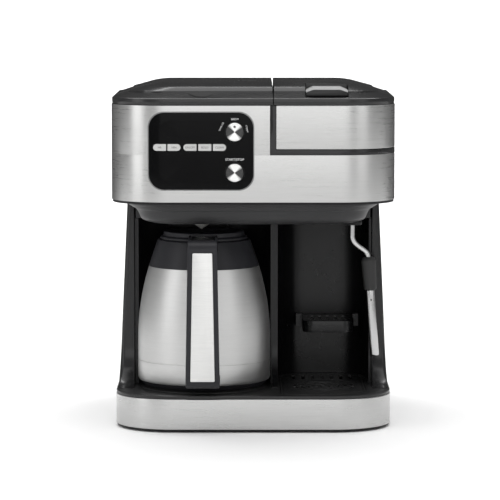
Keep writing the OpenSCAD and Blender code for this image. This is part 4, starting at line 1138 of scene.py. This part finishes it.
lid_profile = eased([[5, 205], [5, 196.1], [46.1, 196.1], [46.1, 209.3], [49.4, 209.3], [49.4, 212],
                     [46, 213.4], [46, 218.3],
                     [41, 218.3], [34, 211], [8, 205], [5, 205]],
                    [0, 0.3, 0.4, 0.2, 0.6, 0.8, 0.5, 1.2, 1.5, 4, 1, 0])
piece("carafe_lid_skin", [turned(lid_profile, axis, 192)], "carafe_cap", collar_grey,
      ["carafe_lid"])

handle_low, handle_high = millimetres("carafe_handle")
handle_face = handle_low[1]


def strap_path():
    """Outer and inner edge of the strap in (y, z), as two runs of equal length from the collar over the top
    corner, down the front and back along the bottom bar."""
    top, bottom, back = handle_high[2] - 0.1, handle_low[2] + 0.1, -100.0
    outer = eased([[back, top], [handle_face + 0.05, top], [handle_face + 0.05, bottom], [back, bottom]],
                  15, 14)
    inner = eased([[back, top - 19], [handle_face + 9, top - 19], [handle_face + 9, bottom + 10.5],
                   [back, bottom + 10.5]], 8, 14)
    return outer, inner


def strap():
    """Rounded rectangles strung between the strap's two edges; their half width grows downwards. The top
    bar has a channel for the lever from its back to the channel's end."""
    outer, inner = strap_path()
    stops = [np.linspace(outer[0], outer[1], 12), outer[2:]]
    inner_stops = [np.linspace(inner[0], inner[1], 12), inner[2:]]
    outer, inner = np.concatenate(stops), np.concatenate(inner_stops)
    channel_end = -160.2
    rings = []
    for o, i in zip(outer, inner):
        top_bar = i[1] > 190 and i[0] > handle_face + 9.5
        half = 19 - 2.8 * (o[1] - handle_low[2]) / (handle_high[2] - handle_low[2])
        depth = np.linalg.norm(o - i)
        dip = 12.0 if top_bar and o[0] > channel_end else 0.0
        floor = (1 - dip / depth) * depth
        corners = [(-half, 0), (half, 0), (half, depth), (13.5, depth), (13.5, floor), (-13.5, floor),
                   (-13.5, depth), (-half, depth)]
        section = eased(corners, [1.6, 1.6, 1.6, 0.01, 0.01, 0.01, 0.01, 1.6], 5, closed=True)
        place = [i + (o - i) * v / depth for v in section[:, 1]]
        rings.append(np.column_stack([axis[0] + section[:, 0], place]))
    for ring, radius in ((rings[0], 52.6), (rings[-1], carafe_r - 0.6)):
        off = np.clip(radius ** 2 - (ring[:, 0] - axis[0]) ** 2, 0, None)
        ring[:, 1] = axis[1] - np.sqrt(off)
    return surface(rings, first_cap=True, last_cap=True)


piece("carafe_handle_skin", [strap()], "carafe", collar_grey, ["carafe_handle"])
insert_low, insert_high = millimetres("handle_insert")
insert_outline = [[axis[0] - 13.5, insert_low[2]], [axis[0] + 13.5, insert_low[2]],
                  [axis[0] + 10.9, insert_high[2]], [axis[0] - 10.9, insert_high[2]]]
piece("handle_insert_skin", [upright_plate(eased(insert_outline, 1.3, 6, closed=True), insert_low[1],
                                           insert_high[1], 0.5)],
      "carafe", insert_steel, ["handle_insert"])

lever_low, lever_high = millimetres("lid_lever")
lever_rings = [box_ring(axis[0] - 12.9 + d, axis[0] + 12.9 - d, lever_low[1] + d, lever_high[1] - d, z, 2)
               for z, d in ((212.4, 0.6), (213, 0), (215.4, 0), (216.2, 0.5), (216.4, 1.3))]
lever_hub = knuckle(axis[0] - 12.8, axis[0] + 12.8, -118, 212, 3.3, 209)
piece("lid_lever_skin", [surface(lever_rings, first_cap=True, last_cap=True), lever_hub],
      "lever", shell_black, ["lid_lever"])


# ---------- water tank ----------
# A smoked clear tank hangs on the back, with a valve in its floor and a black lid hinged at the rear.
finish_node("tank", tank_smoke, 0.0005)
finish_node("tank_valve", inner_plastic)
finish_node("tank_lid", deck_black, 0.0009)
